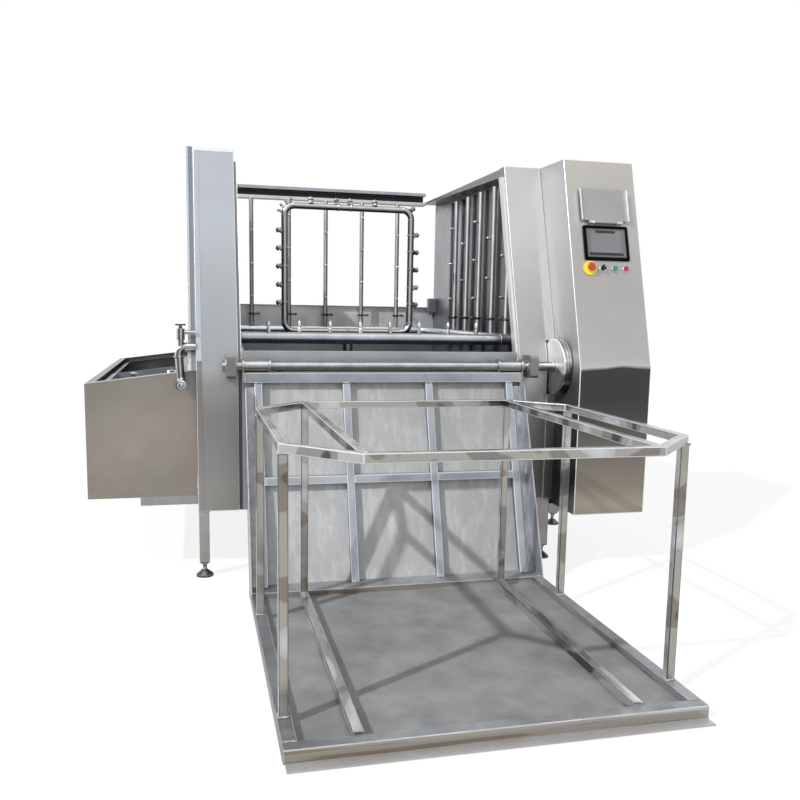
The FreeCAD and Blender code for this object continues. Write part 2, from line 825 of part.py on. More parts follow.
def tank():
    """Open tank with a sloping rim, an inner ledge, and a lift-out filter tray."""
    t = tank_wall
    left, right = -tank_left, -housing_half - tank_gap
    ends = [(left, tank_bottom), (right, tank_bottom), (right, tank_top(right)), (left, tank_top(left))]
    front = front_shape(ends, tank_front, tank_front + t)
    back = front_shape(ends, tank_back - t, tank_back)
    inner = (tank_front + t, tank_back - t)
    outer_side = front_shape([(left, tank_bottom), (left + t, tank_bottom), (left + t, tank_top(left + t)),
                              (left, tank_top(left))], *inner)
    inner_side = front_shape([(right - t, tank_bottom), (right, tank_bottom), (right, tank_top(right)),
                              (right - t, tank_top(right - t))], *inner)
    floor = bar(left + t, right - t, *inner, tank_bottom, tank_bottom + t)
    save("water_tank", [front, back, outer_side, inner_side, floor])

    def frame_bars(edge, width, drop, thick):
        x0, x1 = left + edge, right - edge
        y0, y1 = tank_front + edge, tank_back - edge

        def flat(xa, xb, ya, yb):
            high = [tank_top(xa) - drop, tank_top(xb) - drop]
            outline = [(xa, high[0] - thick), (xb, high[1] - thick), (xb, high[1]), (xa, high[0])]
            return front_shape(outline, ya, yb)

        return [flat(x0, x1, y0, y0 + width), flat(x0, x1, y1 - width, y1),
                flat(x0, x0 + width, y0 + width, y1 - width), flat(x1 - width, x1, y0 + width, y1 - width)]

    lip = frame_bars(t, tank_rim_width, 0.0, tank_rim_sheet)
    ledge = frame_bars(t, tank_rim_width + tank_ledge_width, tank_ledge_drop, tank_rim_sheet)
    save("tank_rim", lip + ledge)

    edge = t + tank_rim_width + tray_side_gap
    x0, x1 = left + edge, right - edge
    s = tray_sheet

    def level(x, down):
        return tank_top(x) - tank_ledge_drop - down

    def tray_wall(xa, xb, ya, yb, top, low):
        outline = [(xa, level(xa, low)), (xb, level(xb, low)), (xb, level(xb, top)), (xa, level(xa, top))]
        return front_shape(outline, ya, yb)

    y0 = tank_front + edge
    y1 = y0 + tray_length
    lap = tray_lap
    pieces = [tray_wall(x0, x1, y0, y0 + lap, -s - seat_gap, -seat_gap),
              tray_wall(x0, x0 + lap, y0 + lap, y1, -s - seat_gap, -seat_gap),
              tray_wall(x1 - lap, x1, y0 + lap, y1, -s - seat_gap, -seat_gap)]
    inset = lap
    ix0, ix1 = x0 + inset, x1 - inset
    iy0, iy1 = y0 + inset, y1
    pieces += [tray_wall(ix0, ix1, iy0, iy0 + s, -s - seat_gap, tray_depth),
               tray_wall(ix0, ix1, iy1 - s, iy1, -s - seat_gap, tray_depth),
               tray_wall(ix0, ix0 + s, iy0 + s, iy1 - s, -s - seat_gap, tray_depth),
               tray_wall(ix1 - s, ix1, iy0 + s, iy1 - s, -s - seat_gap, tray_depth),
               tray_wall(ix0 + s, ix1 - s, iy0 + s, iy1 - s, tray_depth - s, tray_depth)]
    save("filter_tray", pieces)

    half = bracket_width / 2
    brackets = [bar(-housing_half, -housing_half - bracket_reach, y - half, y + half,
                    tank_bottom - bracket_height, tank_bottom) for y in bracket_y]
    save("tank_brackets", brackets)

    inlet_z = tank_top_outer - inlet_drop
    inlet_x = (left + right) / 2
    y = tank_back - t
    stub = rod(inlet_x, tank_back, inlet_z, V(0, 1, 0), inlet_radius, inlet_length)
    body = rod(inlet_x, y, inlet_z, V(0, -1, 0), inlet_radius, inlet_body_length)
    arm_start = V(inlet_x, y - inlet_body_length + inlet_radius / 2, inlet_z)
    arm_end = arm_start - V(0, *float_arm)
    arm = straight(arm_start, arm_end, float_arm_radius)
    turns = [math.radians(-90 + k * 180 / float_bands) for k in range(float_bands + 1)]
    ball = lathe(arm_end, [(float_radius * math.cos(t), float_radius * math.sin(t)) for t in turns])
    save("float_valve", [stub, body.fuse(arm).fuse(ball).removeSplitter()])


def outlet():
    """Pipe end beside the left housing: out of the wall, down and to the front, with a clamp and a cock."""
    r = outlet_dia / 2
    wall = -housing_half
    low_x = outlet_x + outlet_lean
    top = V(outlet_x, outlet_y, outlet_high)
    foot = V(low_x, outlet_y, outlet_low)
    tip = foot - V(0, outlet_bend + pipe_end, 0)
    run = pipe_run([V(wall, outlet_y, outlet_high), top, foot, tip], r, outlet_bend)
    down = (foot - top).normalize()
    seat = top + down * (outlet_bend + clamp_below_bend)
    mid = sleeve(seat.x, seat.y, seat.z, down, ferrule_radius, r + sleeve_clearance, ferrule_thick * 2)
    end = rod(low_x, outlet_y - outlet_bend - pipe_end, outlet_low, V(0, -1, 0), ferrule_radius,
              ferrule_thick)
    save("pipe_clamps", [mid, end])
    up = V(0, 0, 1)
    x = outlet_x + valve_from_run
    body_z = outlet_high + valve_neck_height
    neck = rod(x, outlet_y, outlet_high, up, valve_neck_radius, valve_neck_height)
    body = rod(x, outlet_y, body_z, up, valve_body_radius, valve_body_height)
    branch = rod(x, outlet_y, outlet_high + valve_branch_height, V(1, 0, 0), valve_branch_radius, wall - x)
    run[1] = run[1].fuse([neck, body, branch]).removeSplitter()
    save("outlet_pipe", run)
    stem_z = body_z + valve_body_height + seat_gap
    lever_z = stem_z + handle_stem_height
    stem = rod(x, outlet_y, stem_z, up, valve_stem_radius, handle_stem_height)
    lever = bar(x - handle_length / 2, x + handle_length / 2, outlet_y - handle_width / 2,
                outlet_y + handle_width / 2, lever_z, lever_z + handle_thick)
    save("valve_handle", [stem.fuse(lever).removeSplitter()])


def pump():
    """Pump and motor on a hung tray under the chamber, with the tank's suction pipe."""
    z = pump_axis_height
    x = pump_x
    casing = rod(x - pump_width / 2, pump_y, z, V(1, 0, 0), pump_radius, pump_width)
    neck = rod(x, pump_y, z, V(0, 0, 1), main_dia / 2, chamber_bottom - z)
    eye = rod(x - pump_width / 2 - pump_eye_length, pump_y, z, V(1, 0, 0), main_dia / 2 + pump_eye_wall,
              pump_eye_length)
    save("spray_pump", [casing.fuse([neck, eye]).removeSplitter()])
    motor = rod(x + pump_width / 2, pump_y, z, V(1, 0, 0), pump_motor_radius, pump_motor_length)
    cowl = rod(x + pump_width / 2 + pump_motor_length, pump_y, z, V(1, 0, 0),
               pump_motor_radius + pump_cowl_proud, pump_motor_cowl)
    feet = []
    deck = z - pump_radius
    for along in motor_foot_at:
        start = x + pump_width / 2 + along
        feet.append(bar(start, start + motor_foot_width, pump_y - motor_foot_half, pump_y + motor_foot_half,
                        deck, deck + motor_foot_height))
    save("pump_motor", [motor.fuse(feet).removeSplitter(), cowl])
    half = tube / 2
    y0, y1 = cross_rail_y[2] - half, cross_rail_y[3] + half
    left = x - pump_width / 2 - tray_margin
    right = x + pump_width / 2 + pump_motor_length + pump_motor_cowl + tray_margin
    plate = bar(left, right, y0, y1, deck - tray_plate, deck)
    straps = [bar(sx, sx + tray_strap, sy - half, sy + half, deck, chamber_bottom - tube)
              for sx in (left, right - tray_strap) for sy in (cross_rail_y[2], cross_rail_y[3])]
    save("pump_tray", [plate] + straps)
    run = [V(suction_x, pump_y, tank_bottom), V(suction_x, pump_y, z),
           V(x - pump_width / 2 - pump_eye_length, pump_y, z)]
    save("suction_pipe", pipe_run(run, main_dia / 2, main_bend))
    drain = rod(0, drain_y, chamber_bottom - drain_length, V(0, 0, 1), drain_dia / 2, drain_length)
    save("drain_outlet", [drain])


def ring_main():
    """The ring of feed pipe round the chamber, with its elbows, and the pipe that feeds it."""
    r = main_dia / 2
    z = main_height
    left, right = -main_half, main_half
    start = V(0, main_rear, z)
    corners = [start, V(left, main_rear, z), V(left, main_front, z), V(right, main_front, z),
               V(right, main_rear, z), start]
    save("ring_main", pipe_run(corners, r, main_bend))
    floor = chamber_bottom + chamber_wall
    feed = pipe_run([V(pump_x, pump_y, floor), V(pump_x, pump_y, feed_height),
                     V(pump_x, main_rear, feed_height), V(pump_x, main_rear, z - r)], r, main_bend)
    branch = pipe_run([V(pump_x + r, pump_y, branch_height), V(0, pump_y, branch_height),
                       V(0, loop_y + r, branch_height)], r, main_bend)
    save("riser_pipe", feed + branch)
    pieces = []
    for k in range(front_nozzles):
        x = (k - (front_nozzles - 1) / 2) * front_nozzle_pitch
        pieces.append(nozzle(V(x, main_front, z + r), V(0, 0, 1), front_nozzle_length, front_nozzle_flat))
    save("ring_main_nozzles", pieces)


def inner_loop():
    """Upright loop that the bin comes down over, on a riser, with nozzles on its sides and top."""
    r = loop_dia / 2
    start = V(0, loop_y, loop_low)
    points = [start, V(-loop_half, loop_y, loop_low), V(-loop_half, loop_y, loop_high),
              V(loop_half, loop_y, loop_high), V(loop_half, loop_y, loop_low), start]
    floor = chamber_bottom + chamber_wall
    foot = rod(0, loop_y, floor, V(0, 0, 1), riser_foot_radius, riser_foot_thick)
    riser_low = floor + riser_foot_thick
    riser = rod(0, loop_y, riser_low, V(0, 0, 1), main_dia / 2, loop_low - r - riser_low)
    save("inner_spray_loop", pipe_run(points, r, loop_bend) + [riser, foot])
    pieces = []
    for k in range(loop_side_nozzles):
        z = loop_side_first + k * loop_side_pitch
        seat = V(loop_half + r, loop_y, z)
        pieces += both_sides(nozzle(seat, V(1, 0, 0), loop_nozzle_length, loop_nozzle_flat))
    for x in loop_top_nozzle_x:
        pieces.append(nozzle(V(x, loop_y, loop_high + r), V(0, 0, 1), loop_nozzle_length, loop_nozzle_flat))
    corner = V(-loop_half + loop_bend, loop_y, loop_high - loop_bend)
    for angle in fan_angles_deg:
        way = V(math.cos(math.radians(angle)), 0, math.sin(math.radians(angle)))
        pieces.append(nozzle(corner + way * (loop_bend + r), way, nozzle_length, fan_nozzle_flat))
    way = V(math.cos(math.radians(corner_nozzle_deg)), 0, math.sin(math.radians(corner_nozzle_deg)))
    corner = V(loop_half - loop_bend, loop_y, loop_high - loop_bend)
    pieces.append(nozzle(corner + way * (loop_bend + r), way, loop_nozzle_length, loop_nozzle_flat))
    save("inner_loop_nozzles", pieces)


def union(x, y, toward):
    """A clamped pipe union and the wing nut on its side."""
    at = V(x, y, union_height)
    band = sleeve(at.x, at.y, at.z, V(0, 0, 1), union_radius, spray_dia / 2 + sleeve_clearance, union_thick)
    across = V(0, 0, 1).cross(toward)
    middle = at + V(0, 0, union_thick / 2)
    bolt = nozzle(middle + toward * union_radius, toward, wing_reach, wing_bolt_flat)
    seat = middle + toward * (union_radius + wing_reach + seat_gap)
    corners = [seat - across * wing_span / 2, seat + across * wing_span / 2,
               seat + across * wing_span / 2 + toward * wing_thick,
               seat - across * wing_span / 2 + toward * wing_thick]
    low = V(0, 0, -wing_width / 2)
    wing = extrude([p + low for p in corners], V(0, 0, wing_width))
    return band, [bolt, wing]


def spray_pipes():
    """Upright spray pipes on the rear and side walls, their nozzles, unions and wing nuts."""
    r = spray_dia / 2
    low = main_height + main_dia / 2
    rear, sides, nozzles, bands, wings = [], [], [], [], []
    for k in range(rear_pipes):
        x = (k - (rear_pipes - 1) / 2) * rear_pipe_pitch
        rear.append(rod(x, main_rear, low, V(0, 0, 1), r, rail_low - low))
        z = nozzle_first + (nozzle_pitch / 2 if k % 2 else 0)
        while z < rail_low - nozzle_pitch / 3:
            nozzles.append(nozzle(V(x, main_rear - r, z), V(0, -1, 0), nozzle_length))
            z += nozzle_pitch
        band, wing = union(x, main_rear, V(1, 0, 0))
        bands.append(band)
        wings += wing
    for k, y in enumerate(side_pipe_y):
        under_cover = apex_height + (y - r - pipe_cover_gap - cover_depth - front_face_y) / face_slope
        top = min(side_pipe_top, under_cover)
        sides += both_sides(rod(main_half, y, low, V(0, 0, 1), r, top - low))
        z = nozzle_first + (nozzle_pitch / 2 if k % 2 else 0)
        while z < top - nozzle_pitch / 3:
            nozzles += both_sides(nozzle(V(main_half - r, y, z), V(-1, 0, 0), nozzle_length))
            z += nozzle_pitch
        band, wing = union(main_half, y, V(0, 1, 0))
        bands += both_sides(band)
        for piece in wing:
            wings += both_sides(piece)
    save("rear_spray_pipes", rear)
    save("side_spray_pipes", sides)
    save("wall_nozzles", nozzles)
    save("union_clamps", bands)
    save("clamp_wing_nuts", wings)


def cradle_shaft():
    """The shaft, its drive disc, the sleeves and the lugs that carry the cradle."""
    z = shaft_height
    along = V(1, 0, 0)
    save("cradle_shaft", [rod(-shaft_left_end, 0, z, along, shaft_r, shaft_left_end + shaft_right_end)])
    disc = sleeve(disc_left, 0, z, along, disc_radius, shaft_r + sleeve_clearance, disc_thick)
    hub = sleeve(disc_left - disc_hub_length, 0, z, along, disc_hub_radius, shaft_r + sleeve_clearance,
                 disc_hub_length)
    rim = [e for e in disc.Edges
           if e.Curve.TypeId == "Part::GeomCircle" and e.Curve.Radius > disc_radius - seam_gap]
    disc = disc.makeChamfer(disc_chamfer, rim)
    seat = disc_left + disc_thick / 2
    bolt = rod(seat, 0, z + disc_radius - disc_bolt_sunk, V(0, 0, 1), disc_bolt_dia / 2, disc_bolt_height)
    save("drive_disc", [disc.fuse([hub, bolt]).removeSplitter()])
    pieces = []
    sleeve_length = sleeve_outer_end - sleeve_inner_end - 2 * lug_thick
    pieces += both_sides(sleeve(sleeve_inner_end + lug_thick, 0, z, along, sleeve_dia / 2,
                                shaft_r + sleeve_clearance, sleeve_length))
    carried = bar(-cradle_half, cradle_half, -lug_radius, lug_radius, top_tube_low, top_tube_high)
    for x, foot_low in ((sleeve_inner_end, top_tube_high), (cradle_half, top_tube_low)):
        round_end = rod(x, 0, z, along, lug_radius, lug_thick)
        foot = bar(x, x + lug_thick, -top_tube / 2, top_tube / 2, foot_low, z)
        bore = rod(x, 0, z, along, shaft_r + sleeve_clearance, lug_thick)
        pieces += both_sides(round_end.fuse(foot).cut(bore).cut(carried).removeSplitter())
    save("shaft_sleeves", pieces)


def back_panel():
    """The cradle's leaning back: a top tube, four uprights, a mid rail, the sheet and the side flanges."""
    low = platform_low + rim_height
    tubes = [bar(-cradle_half, cradle_half, -top_tube / 2, top_tube / 2, top_tube_low, top_tube_high)]
    half = panel_tube / 2
    for x in upright_x:
        tubes.append(sloping_tube(x - half, x + half, low, top_tube_low, panel_tube))
    for x0, x1 in zip(upright_x, upright_x[1:]):
        tubes.append(sloping_tube(x0 + half, x1 - half, mid_rail_height - half, mid_rail_height + half,
                                  panel_tube))
    save("cradle_back_frame", tubes)
    inner = cradle_half - flange_sheet
    save("cradle_back_sheet", [sloping_tube(-inner, inner, low, top_tube_low, panel_sheet, panel_tube)])
    edge = sloping_tube(inner - edge_strip, inner, low, flange_top, edge_strip_thick, edge_strip_behind)
    flange = side_shape([(panel_y(low) + panel_tube + panel_sheet, low),
                         (panel_y(flange_top) + panel_tube + panel_sheet, flange_top),
                         (panel_y(flange_top) - flange_reach_top, flange_top),
                         (panel_y(low) - flange_reach_low, low)], inner, cradle_half)
    save("cradle_side_flanges", both_sides(flange) + both_sides(edge))


def platform():
    """The floor that the bin stands on: a rim of tube, guide rails, a deck sheet and a front lip."""
    low, high = platform_low, platform_low + rim_height
    inner = cradle_half - rim_width
    pieces = [bar(-cradle_half, cradle_half, platform_back, platform_back + back_tube_depth, low, high),
              bar(-cradle_half, cradle_half, platform_front, platform_front + rim_width, low, high)]
    pieces += both_sides(bar(inner, cradle_half, platform_front + rim_width, platform_back, low, high))
    front = platform_front + rim_width
    deck_top = deck_height
    half = guide_tube / 2
    pieces += both_sides(bar(guide_at - half, guide_at + half, front, platform_back, deck_top,
                             deck_top + guide_tube))
    save("platform_frame", pieces)
    save("platform_sheet", [bar(-inner, inner, front, platform_back, deck_top - deck_sheet, deck_top)])
    lip = bar(-lip_half, lip_half, platform_front - lip_reach, platform_front, low, low + lip_thick)
    save("front_lip", [lip])


def cage():
    """The eight-sided rail that holds the bin, its two inner rails and its six posts."""
    half = cage_tube / 2
    ring = [(-cage_side_half, cage_side_back), (-cage_end_half, cage_end_back),
            (cage_end_half, cage_end_back), (cage_side_half, cage_side_back),
            (cage_side_half, cage_side_front), (cage_end_half, cage_end_front),
            (-cage_end_half, cage_end_front), (-cage_side_half, cage_side_front)]

    def offset(points, distance):
        moved = []
        count = len(points)
        for k in range(count):
            before, here, after = (V(*points[(k + j) % count], 0) for j in (-1, 0, 1))
            one = (here - before).normalize()
            two = (after - here).normalize()
            turn = one.getAngle(two)
            out = (V(-one.y, one.x, 0) + V(-two.y, two.x, 0)).normalize()
            place = here + out * (distance / math.cos(turn / 2))
            moved.append((place.x, place.y))
        return moved

    outer, inner = offset(ring, half), offset(ring, -half)
    rails = []
    for k in range(len(ring)):
        j = (k + 1) % len(ring)
        rails.append(plan_shape([outer[k], outer[j], inner[j], inner[k]], cage_top - cage_tube, cage_top))
    x = cage_end_half
    inner_rail = bar(x - half, x + half, cage_end_front, cage_end_back, cage_top - cage_tube, cage_top)
    rails += both_sides(inner_rail.cut(Part.makeCompound(rails)))
    save("cage_ring", rails)
    deck = platform_low + rim_height
    posts = []
    for px, py, foot in ((cage_side_half, cage_side_back, deck), (cage_side_half, cage_side_front, deck),
                         (cage_end_half, cage_end_back, deck_height + guide_tube)):
        posts += both_sides(bar(px - half, px + half, py - half, py + half, foot, cage_top - cage_tube))
    save("cage_posts", posts)


base_frame()
levelling_feet()
wash_chamber()
wall_linings()
side_walls()
front_covers()
seal_strips()
rear_rail()
small_box()
bearings()
cabinet()
screen()
screen_cover()
buttons()
drive()
tank()
outlet()
pump()
ring_main()
inner_loop()
spray_pipes()
cradle_shaft()
back_panel()
platform()
cage()
print("origin shift", origin_shift.x, origin_shift.y)
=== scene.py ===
import bmesh
import bpy
import math
import random
from bpy.props import FloatProperty, FloatVectorProperty, PointerProperty
from bpy.types import Operator, Panel, PropertyGroup
from mathutils import Matrix, Vector


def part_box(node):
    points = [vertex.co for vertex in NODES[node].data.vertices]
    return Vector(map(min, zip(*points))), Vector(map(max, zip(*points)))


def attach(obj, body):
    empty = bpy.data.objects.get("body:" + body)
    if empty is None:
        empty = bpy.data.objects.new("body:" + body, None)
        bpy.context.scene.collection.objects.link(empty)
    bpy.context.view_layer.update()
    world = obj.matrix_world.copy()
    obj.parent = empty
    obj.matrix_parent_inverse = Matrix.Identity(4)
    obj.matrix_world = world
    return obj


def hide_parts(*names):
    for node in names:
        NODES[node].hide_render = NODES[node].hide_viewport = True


bl_info = {
    "name": "Trash Can Cleaning Machine",
    "version": (1, 0, 0),
    "blender": (4, 5, 0),
    "location": "3D View > Sidebar > Bin Washer",
    "description": "Dresses a tipping bin washer: sheet covers, tank, cabinet, pipes, nozzles and cradle",
    "category": "Object",
}

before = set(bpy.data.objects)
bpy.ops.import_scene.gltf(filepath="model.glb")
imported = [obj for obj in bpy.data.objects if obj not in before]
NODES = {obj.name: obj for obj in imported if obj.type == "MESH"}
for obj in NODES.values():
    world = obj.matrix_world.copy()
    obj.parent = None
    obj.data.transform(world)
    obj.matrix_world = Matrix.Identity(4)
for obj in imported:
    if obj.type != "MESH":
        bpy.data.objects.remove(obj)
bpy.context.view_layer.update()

# Places on the cabinet, in metres: the fold in its front, and the lean of the face above it
CABINET_FOLD = 0.853
CABINET_LEAN = math.radians(16.25)
# The same for the covers beside the chamber
COVER_FOLD = 0.866
COVER_LEAN = math.radians(17.7)
# The shaft's axis, and the gap between the drive disc and the cover's slot
SHAFT_Y = -0.119
SHAFT_Z = 0.850
SLOT_GAP = 0.003
RIM_LIP = 0.075


# Sizes and colours that a user can change

def length(name, text, value):
    return FloatProperty(name=name, description=text, default=value, min=0.0, unit="LENGTH", precision=4)


def tone(name, text, value):
    return FloatVectorProperty(name=name, description=text, default=value, subtype="COLOR", min=0.0, max=1.0)


class StageSettings(PropertyGroup):
    camera_place: FloatVectorProperty(name="Camera place", description="Where the camera stands",
                                      default=(-0.7133, -3.4280, 1.0747), subtype="TRANSLATION", unit="LENGTH")
    camera_yaw: FloatProperty(name="Yaw", description="Turn of the camera towards the cabinet",
                              default=math.radians(13.81), subtype="ANGLE")
    camera_pitch: FloatProperty(name="Pitch", description="How far the camera looks down",
                                default=math.radians(7.866), subtype="ANGLE")
    camera_roll: FloatProperty(name="Roll", description="Tilt of the camera about its own axis",
                               default=math.radians(0.998), subtype="ANGLE")
    lens: FloatProperty(name="Lens", description="Focal length in millimetres", default=37.82, min=1.0)
    sky: FloatProperty(name="Sky", description="Strength of the plain sky on matt surfaces", default=0.50, min=0.0)
    key: FloatProperty(name="Key lamp", description="Strength of the high lamp at the front left", default=2.6,
                       min=0.0)
    key_way: FloatVectorProperty(name="Key direction", description="Way the key lamp's light travels",
                                 default=(0.788, 0.467, -0.719), subtype="DIRECTION")
    key_spread: FloatProperty(name="Key spread", description="How wide the key lamp looks from the part",
                              default=math.radians(1.2), subtype="ANGLE")
    floor: tone("Floor", "Colour of the floor", (0.93, 0.93, 0.93))
    shadow: FloatProperty(name="Floor shadow", description="How much of the shadow shows on the floor",
                          default=0.20, min=0.0, max=1.0)


class SheetSettings(PropertyGroup):
    # pale and grey are one brushed sheet: pale is painted sky light for faces that face up, grey is painted shade for
    # upright faces
    pale: tone("Pale sheet", "Brushed sheet that faces the sky", (0.50, 0.53, 0.57))
    grey: tone("Grey sheet", "Brushed sheet that stands upright", (0.23, 0.235, 0.24))
    # dark is the same sheet with painted shade, for the inside of the chamber
    dark: tone("Dark sheet", "Sheet inside the chamber", (0.15, 0.155, 0.165))
    warm: tone("Warm sheet", "Sheet of the tank", (0.27, 0.25, 0.225))
    # fold is a painted highlight along rounded folds and edges
    fold: tone("Fold", "The bright line along a fold", (0.80, 0.82, 0.84))
    fold_radius: length("Fold radius", "Outer radius of a folded edge", 0.0035)
    roughness: FloatProperty(name="Roughness", description="Roughness of brushed sheet", default=0.36, min=0.05,
                             max=1.0)
    metal: FloatProperty(name="Metal share", description="How much brushed sheet mirrors, against a matt surface",
                         default=0.60, min=0.0, max=1.0)


class TubeSettings(PropertyGroup):
    satin: tone("Satin tube", "Square tube of the frames", (0.34, 0.34, 0.34))
    polished: tone("Polished tube", "Square tube of the cage", (0.44, 0.43, 0.40))
    pipe: tone("Pipe", "Round pipe", (0.46, 0.47, 0.49))
    bright: tone("Bright fittings", "Nozzles, clamps and nuts", (0.62, 0.625, 0.635))
    corner: length("Tube corner", "Corner radius of a square tube", 0.003)
    bead: length("Weld bead", "Radius of a weld bead", 0.0028)
    ripple: length("Weld ripple", "Distance between the ripples of a weld", 0.0042)


class PlasticSettings(PropertyGroup):
    bezel: tone("Screen frame", "Frame of the screen", (0.003, 0.003, 0.003))
    display: tone("Display", "The dark display behind the glass", (0.215, 0.22, 0.23))
    yellow: tone("Yellow", "Ring of the emergency stop", (0.90, 0.78, 0.05))
    red: tone("Red", "Head of the emergency stop", (0.60, 0.035, 0.04))
    crimson: tone("Crimson", "Stop button", (0.36, 0.02, 0.07))
    green: tone("Green", "Start button", (0.01, 0.25, 0.15))
    black: tone("Black", "Selector and rubber", (0.015, 0.015, 0.016))
    motor: tone("Motor paint", "Paint of the two motors", (0.05, 0.10, 0.16))


def stage_settings():
    return bpy.context.scene.washer_stage


def sheet_settings():
    return bpy.context.scene.washer_sheet


def tube_settings():
    return bpy.context.scene.washer_tube


def plastic_settings():
    return bpy.context.scene.washer_plastic


# Materials

def add_node(tree, kind, inputs=(), **settings):
    """One shader node with its settings, values and links."""
    node = tree.nodes.new(kind)
    for key, value in settings.items():
        setattr(node, key, value)
    for key, value in dict(inputs).items():
        if isinstance(value, bpy.types.NodeSocket):
            tree.links.new(value, node.inputs[key])
        else:
            node.inputs[key].default_value = value
    return node


def colour(value, scale=1.0):
    return (value[0] * scale, value[1] * scale, value[2] * scale, 1.0)


def ramp(tree, value, stops):
    """A colour ramp from (place, colour) stops."""
    node = add_node(tree, "ShaderNodeValToRGB", {"Fac": value})
    line = node.color_ramp
    while len(line.elements) < len(stops):
        line.elements.new(0.5)
    for element, (place, shade) in zip(line.elements, stops):
        element.position = place
        element.color = colour(shade)
    return node.outputs["Color"]


def grey(level, warmth=0.0):
    """A neutral shade, warmer above zero and cooler below."""
    return (level * (1 + warmth), level, level * (1 - warmth))


def start_material(name):
    made = bpy.data.materials.new(name)
    made.use_nodes = True
    tree = made.node_tree
    shader = tree.nodes["Principled BSDF"]
    return made, tree, shader


def stretched_noise(tree, place, stretch, scale, detail=4.0, rough=0.55):
    """Noise pulled out along some of the axes, as brushing and streaks are."""
    moved = add_node(tree, "ShaderNodeMapping", {"Vector": place, "Scale": stretch})
    noise = add_node(tree, "ShaderNodeTexNoise", {"Vector": moved.outputs["Vector"], "Scale": scale,
                                                  "Detail": detail, "Roughness": rough})
    return noise.outputs["Fac"]


def mapped(tree, value, low, high, to_low, to_high):
    node = add_node(tree, "ShaderNodeMapRange", {"Value": value, "From Min": low, "From Max": high,
                                                 "To Min": to_low, "To Max": to_high})
    return node.outputs["Result"]


def tinted(tree, shade, factor):
    """A colour times a number."""
    grown = add_node(tree, "ShaderNodeVectorMath", {0: shade}, operation="SCALE")
    tree.links.new(factor, grown.inputs["Scale"])
    return grown.outputs["Vector"]


def steel(name, facing, heights=None, span=(0.0, 1.0), grain=(1.0, 1.0, 14.0), brush=0.05, cloud=0.10,
          cloud_scale=2.4, roughness=None, bump=0.012, wave=0.0, across=None, metal=None, drips=None,
          bands=None, tint=None):
    """Stainless steel: a painted shade for each way it faces, times a painted shade for its height, clouded and
    brushed.

    facing is a list of (how far up it faces, from -1 to 1, and a shade): painted sky light where it faces up and
    painted shade where it faces down. heights is a list of (height in the span, from 0 to 1, and a shade) and across
    one of (how far right it faces, and a shade); both multiply it, as painted shade, highlights and reflections. drips
    is how strongly upright water streaks show. bands is an axis, its low and high end and a list like heights, painted
    the same way, and tint is two shades that the sheet drifts between.
    """
    made, tree, shader = start_material(name)
    place = add_node(tree, "ShaderNodeTexCoord").outputs
    up = add_node(tree, "ShaderNodeSeparateXYZ", {"Vector": place["Normal"]}).outputs["Z"]
    base = ramp(tree, mapped(tree, up, -1.0, 1.0, 0.0, 1.0), [((f + 1) / 2, s) for f, s in facing])
    big = stretched_noise(tree, place["Object"], (1.0, 1.0, 1.0), cloud_scale, 3.0, 0.6)
    fine = stretched_noise(tree, place["Object"], grain, 60.0, 3.0, 0.7)
    if heights:
        z = add_node(tree, "ShaderNodeSeparateXYZ", {"Vector": place["Object"]}).outputs["Z"]
        lifted = add_node(tree, "ShaderNodeMath", {0: mapped(tree, big, 0.3, 0.7, -0.03, 0.03), 1: z},
                          operation="ADD").outputs["Value"]
        tall = ramp(tree, mapped(tree, lifted, span[0], span[1], 0.0, 1.0), heights)
        base = add_node(tree, "ShaderNodeVectorMath", {0: base, 1: tall}, operation="MULTIPLY").outputs["Vector"]
    shades = []
    if across:
        side = add_node(tree, "ShaderNodeSeparateXYZ", {"Vector": place["Normal"]}).outputs["X"]
        shades.append(ramp(tree, mapped(tree, side, -1.0, 1.0, 0.0, 1.0), [((f + 1) / 2, t) for f, t in across]))
    if bands:
        axis, low, high, stops = bands
        along = add_node(tree, "ShaderNodeSeparateXYZ", {"Vector": place["Object"]}).outputs[axis]
        shades.append(ramp(tree, mapped(tree, along, low, high, 0.0, 1.0), stops))
    if tint:
        drift = stretched_noise(tree, place["Object"], (1.0, 1.0, 1.0), 3.1, 2.0, 0.5)
        shades.append(ramp(tree, drift, [(0.40, tint[0]), (0.60, tint[1])]))
    for shade in shades:
        base = add_node(tree, "ShaderNodeVectorMath", {0: base, 1: shade}, operation="MULTIPLY").outputs["Vector"]
    base = tinted(tree, base, mapped(tree, big, 0.3, 0.7, 1.0 - cloud, 1.0 + cloud))
    base = tinted(tree, base, mapped(tree, fine, 0.25, 0.75, 1.0 - brush, 1.0 + brush))
    if drips:
        streak = stretched_noise(tree, place["Object"], (1.0, 1.0, 0.09), 24.0, 4.0, 0.68)
        base = tinted(tree, base, mapped(tree, streak, 0.47, 0.60, 1.0 - drips * 0.45, 1.0 + drips * 0.6))
    tree.links.new(base, shader.inputs["Base Color"])
    shader.inputs["Metallic"].default_value = sheet_settings().metal if metal is None else metal
    rough = sheet_settings().roughness if roughness is None else roughness
    tree.links.new(mapped(tree, fine, 0.25, 0.75, rough * 0.85, rough * 1.2), shader.inputs["Roughness"])
    height = fine
    if wave:
        slow = stretched_noise(tree, place["Object"], (1.0, 1.0, 1.0), 3.2, 1.0, 0.4)
        grown = add_node(tree, "ShaderNodeMath", {0: slow, 1: wave}, operation="MULTIPLY").outputs["Value"]
        height = add_node(tree, "ShaderNodeMath", {0: grown, 1: fine}, operation="ADD").outputs["Value"]
    rise = add_node(tree, "ShaderNodeBump", {"Height": height, "Strength": 0.35, "Distance": bump * 0.1})
    tree.links.new(rise.outputs["Normal"], shader.inputs["Normal"])
    return made
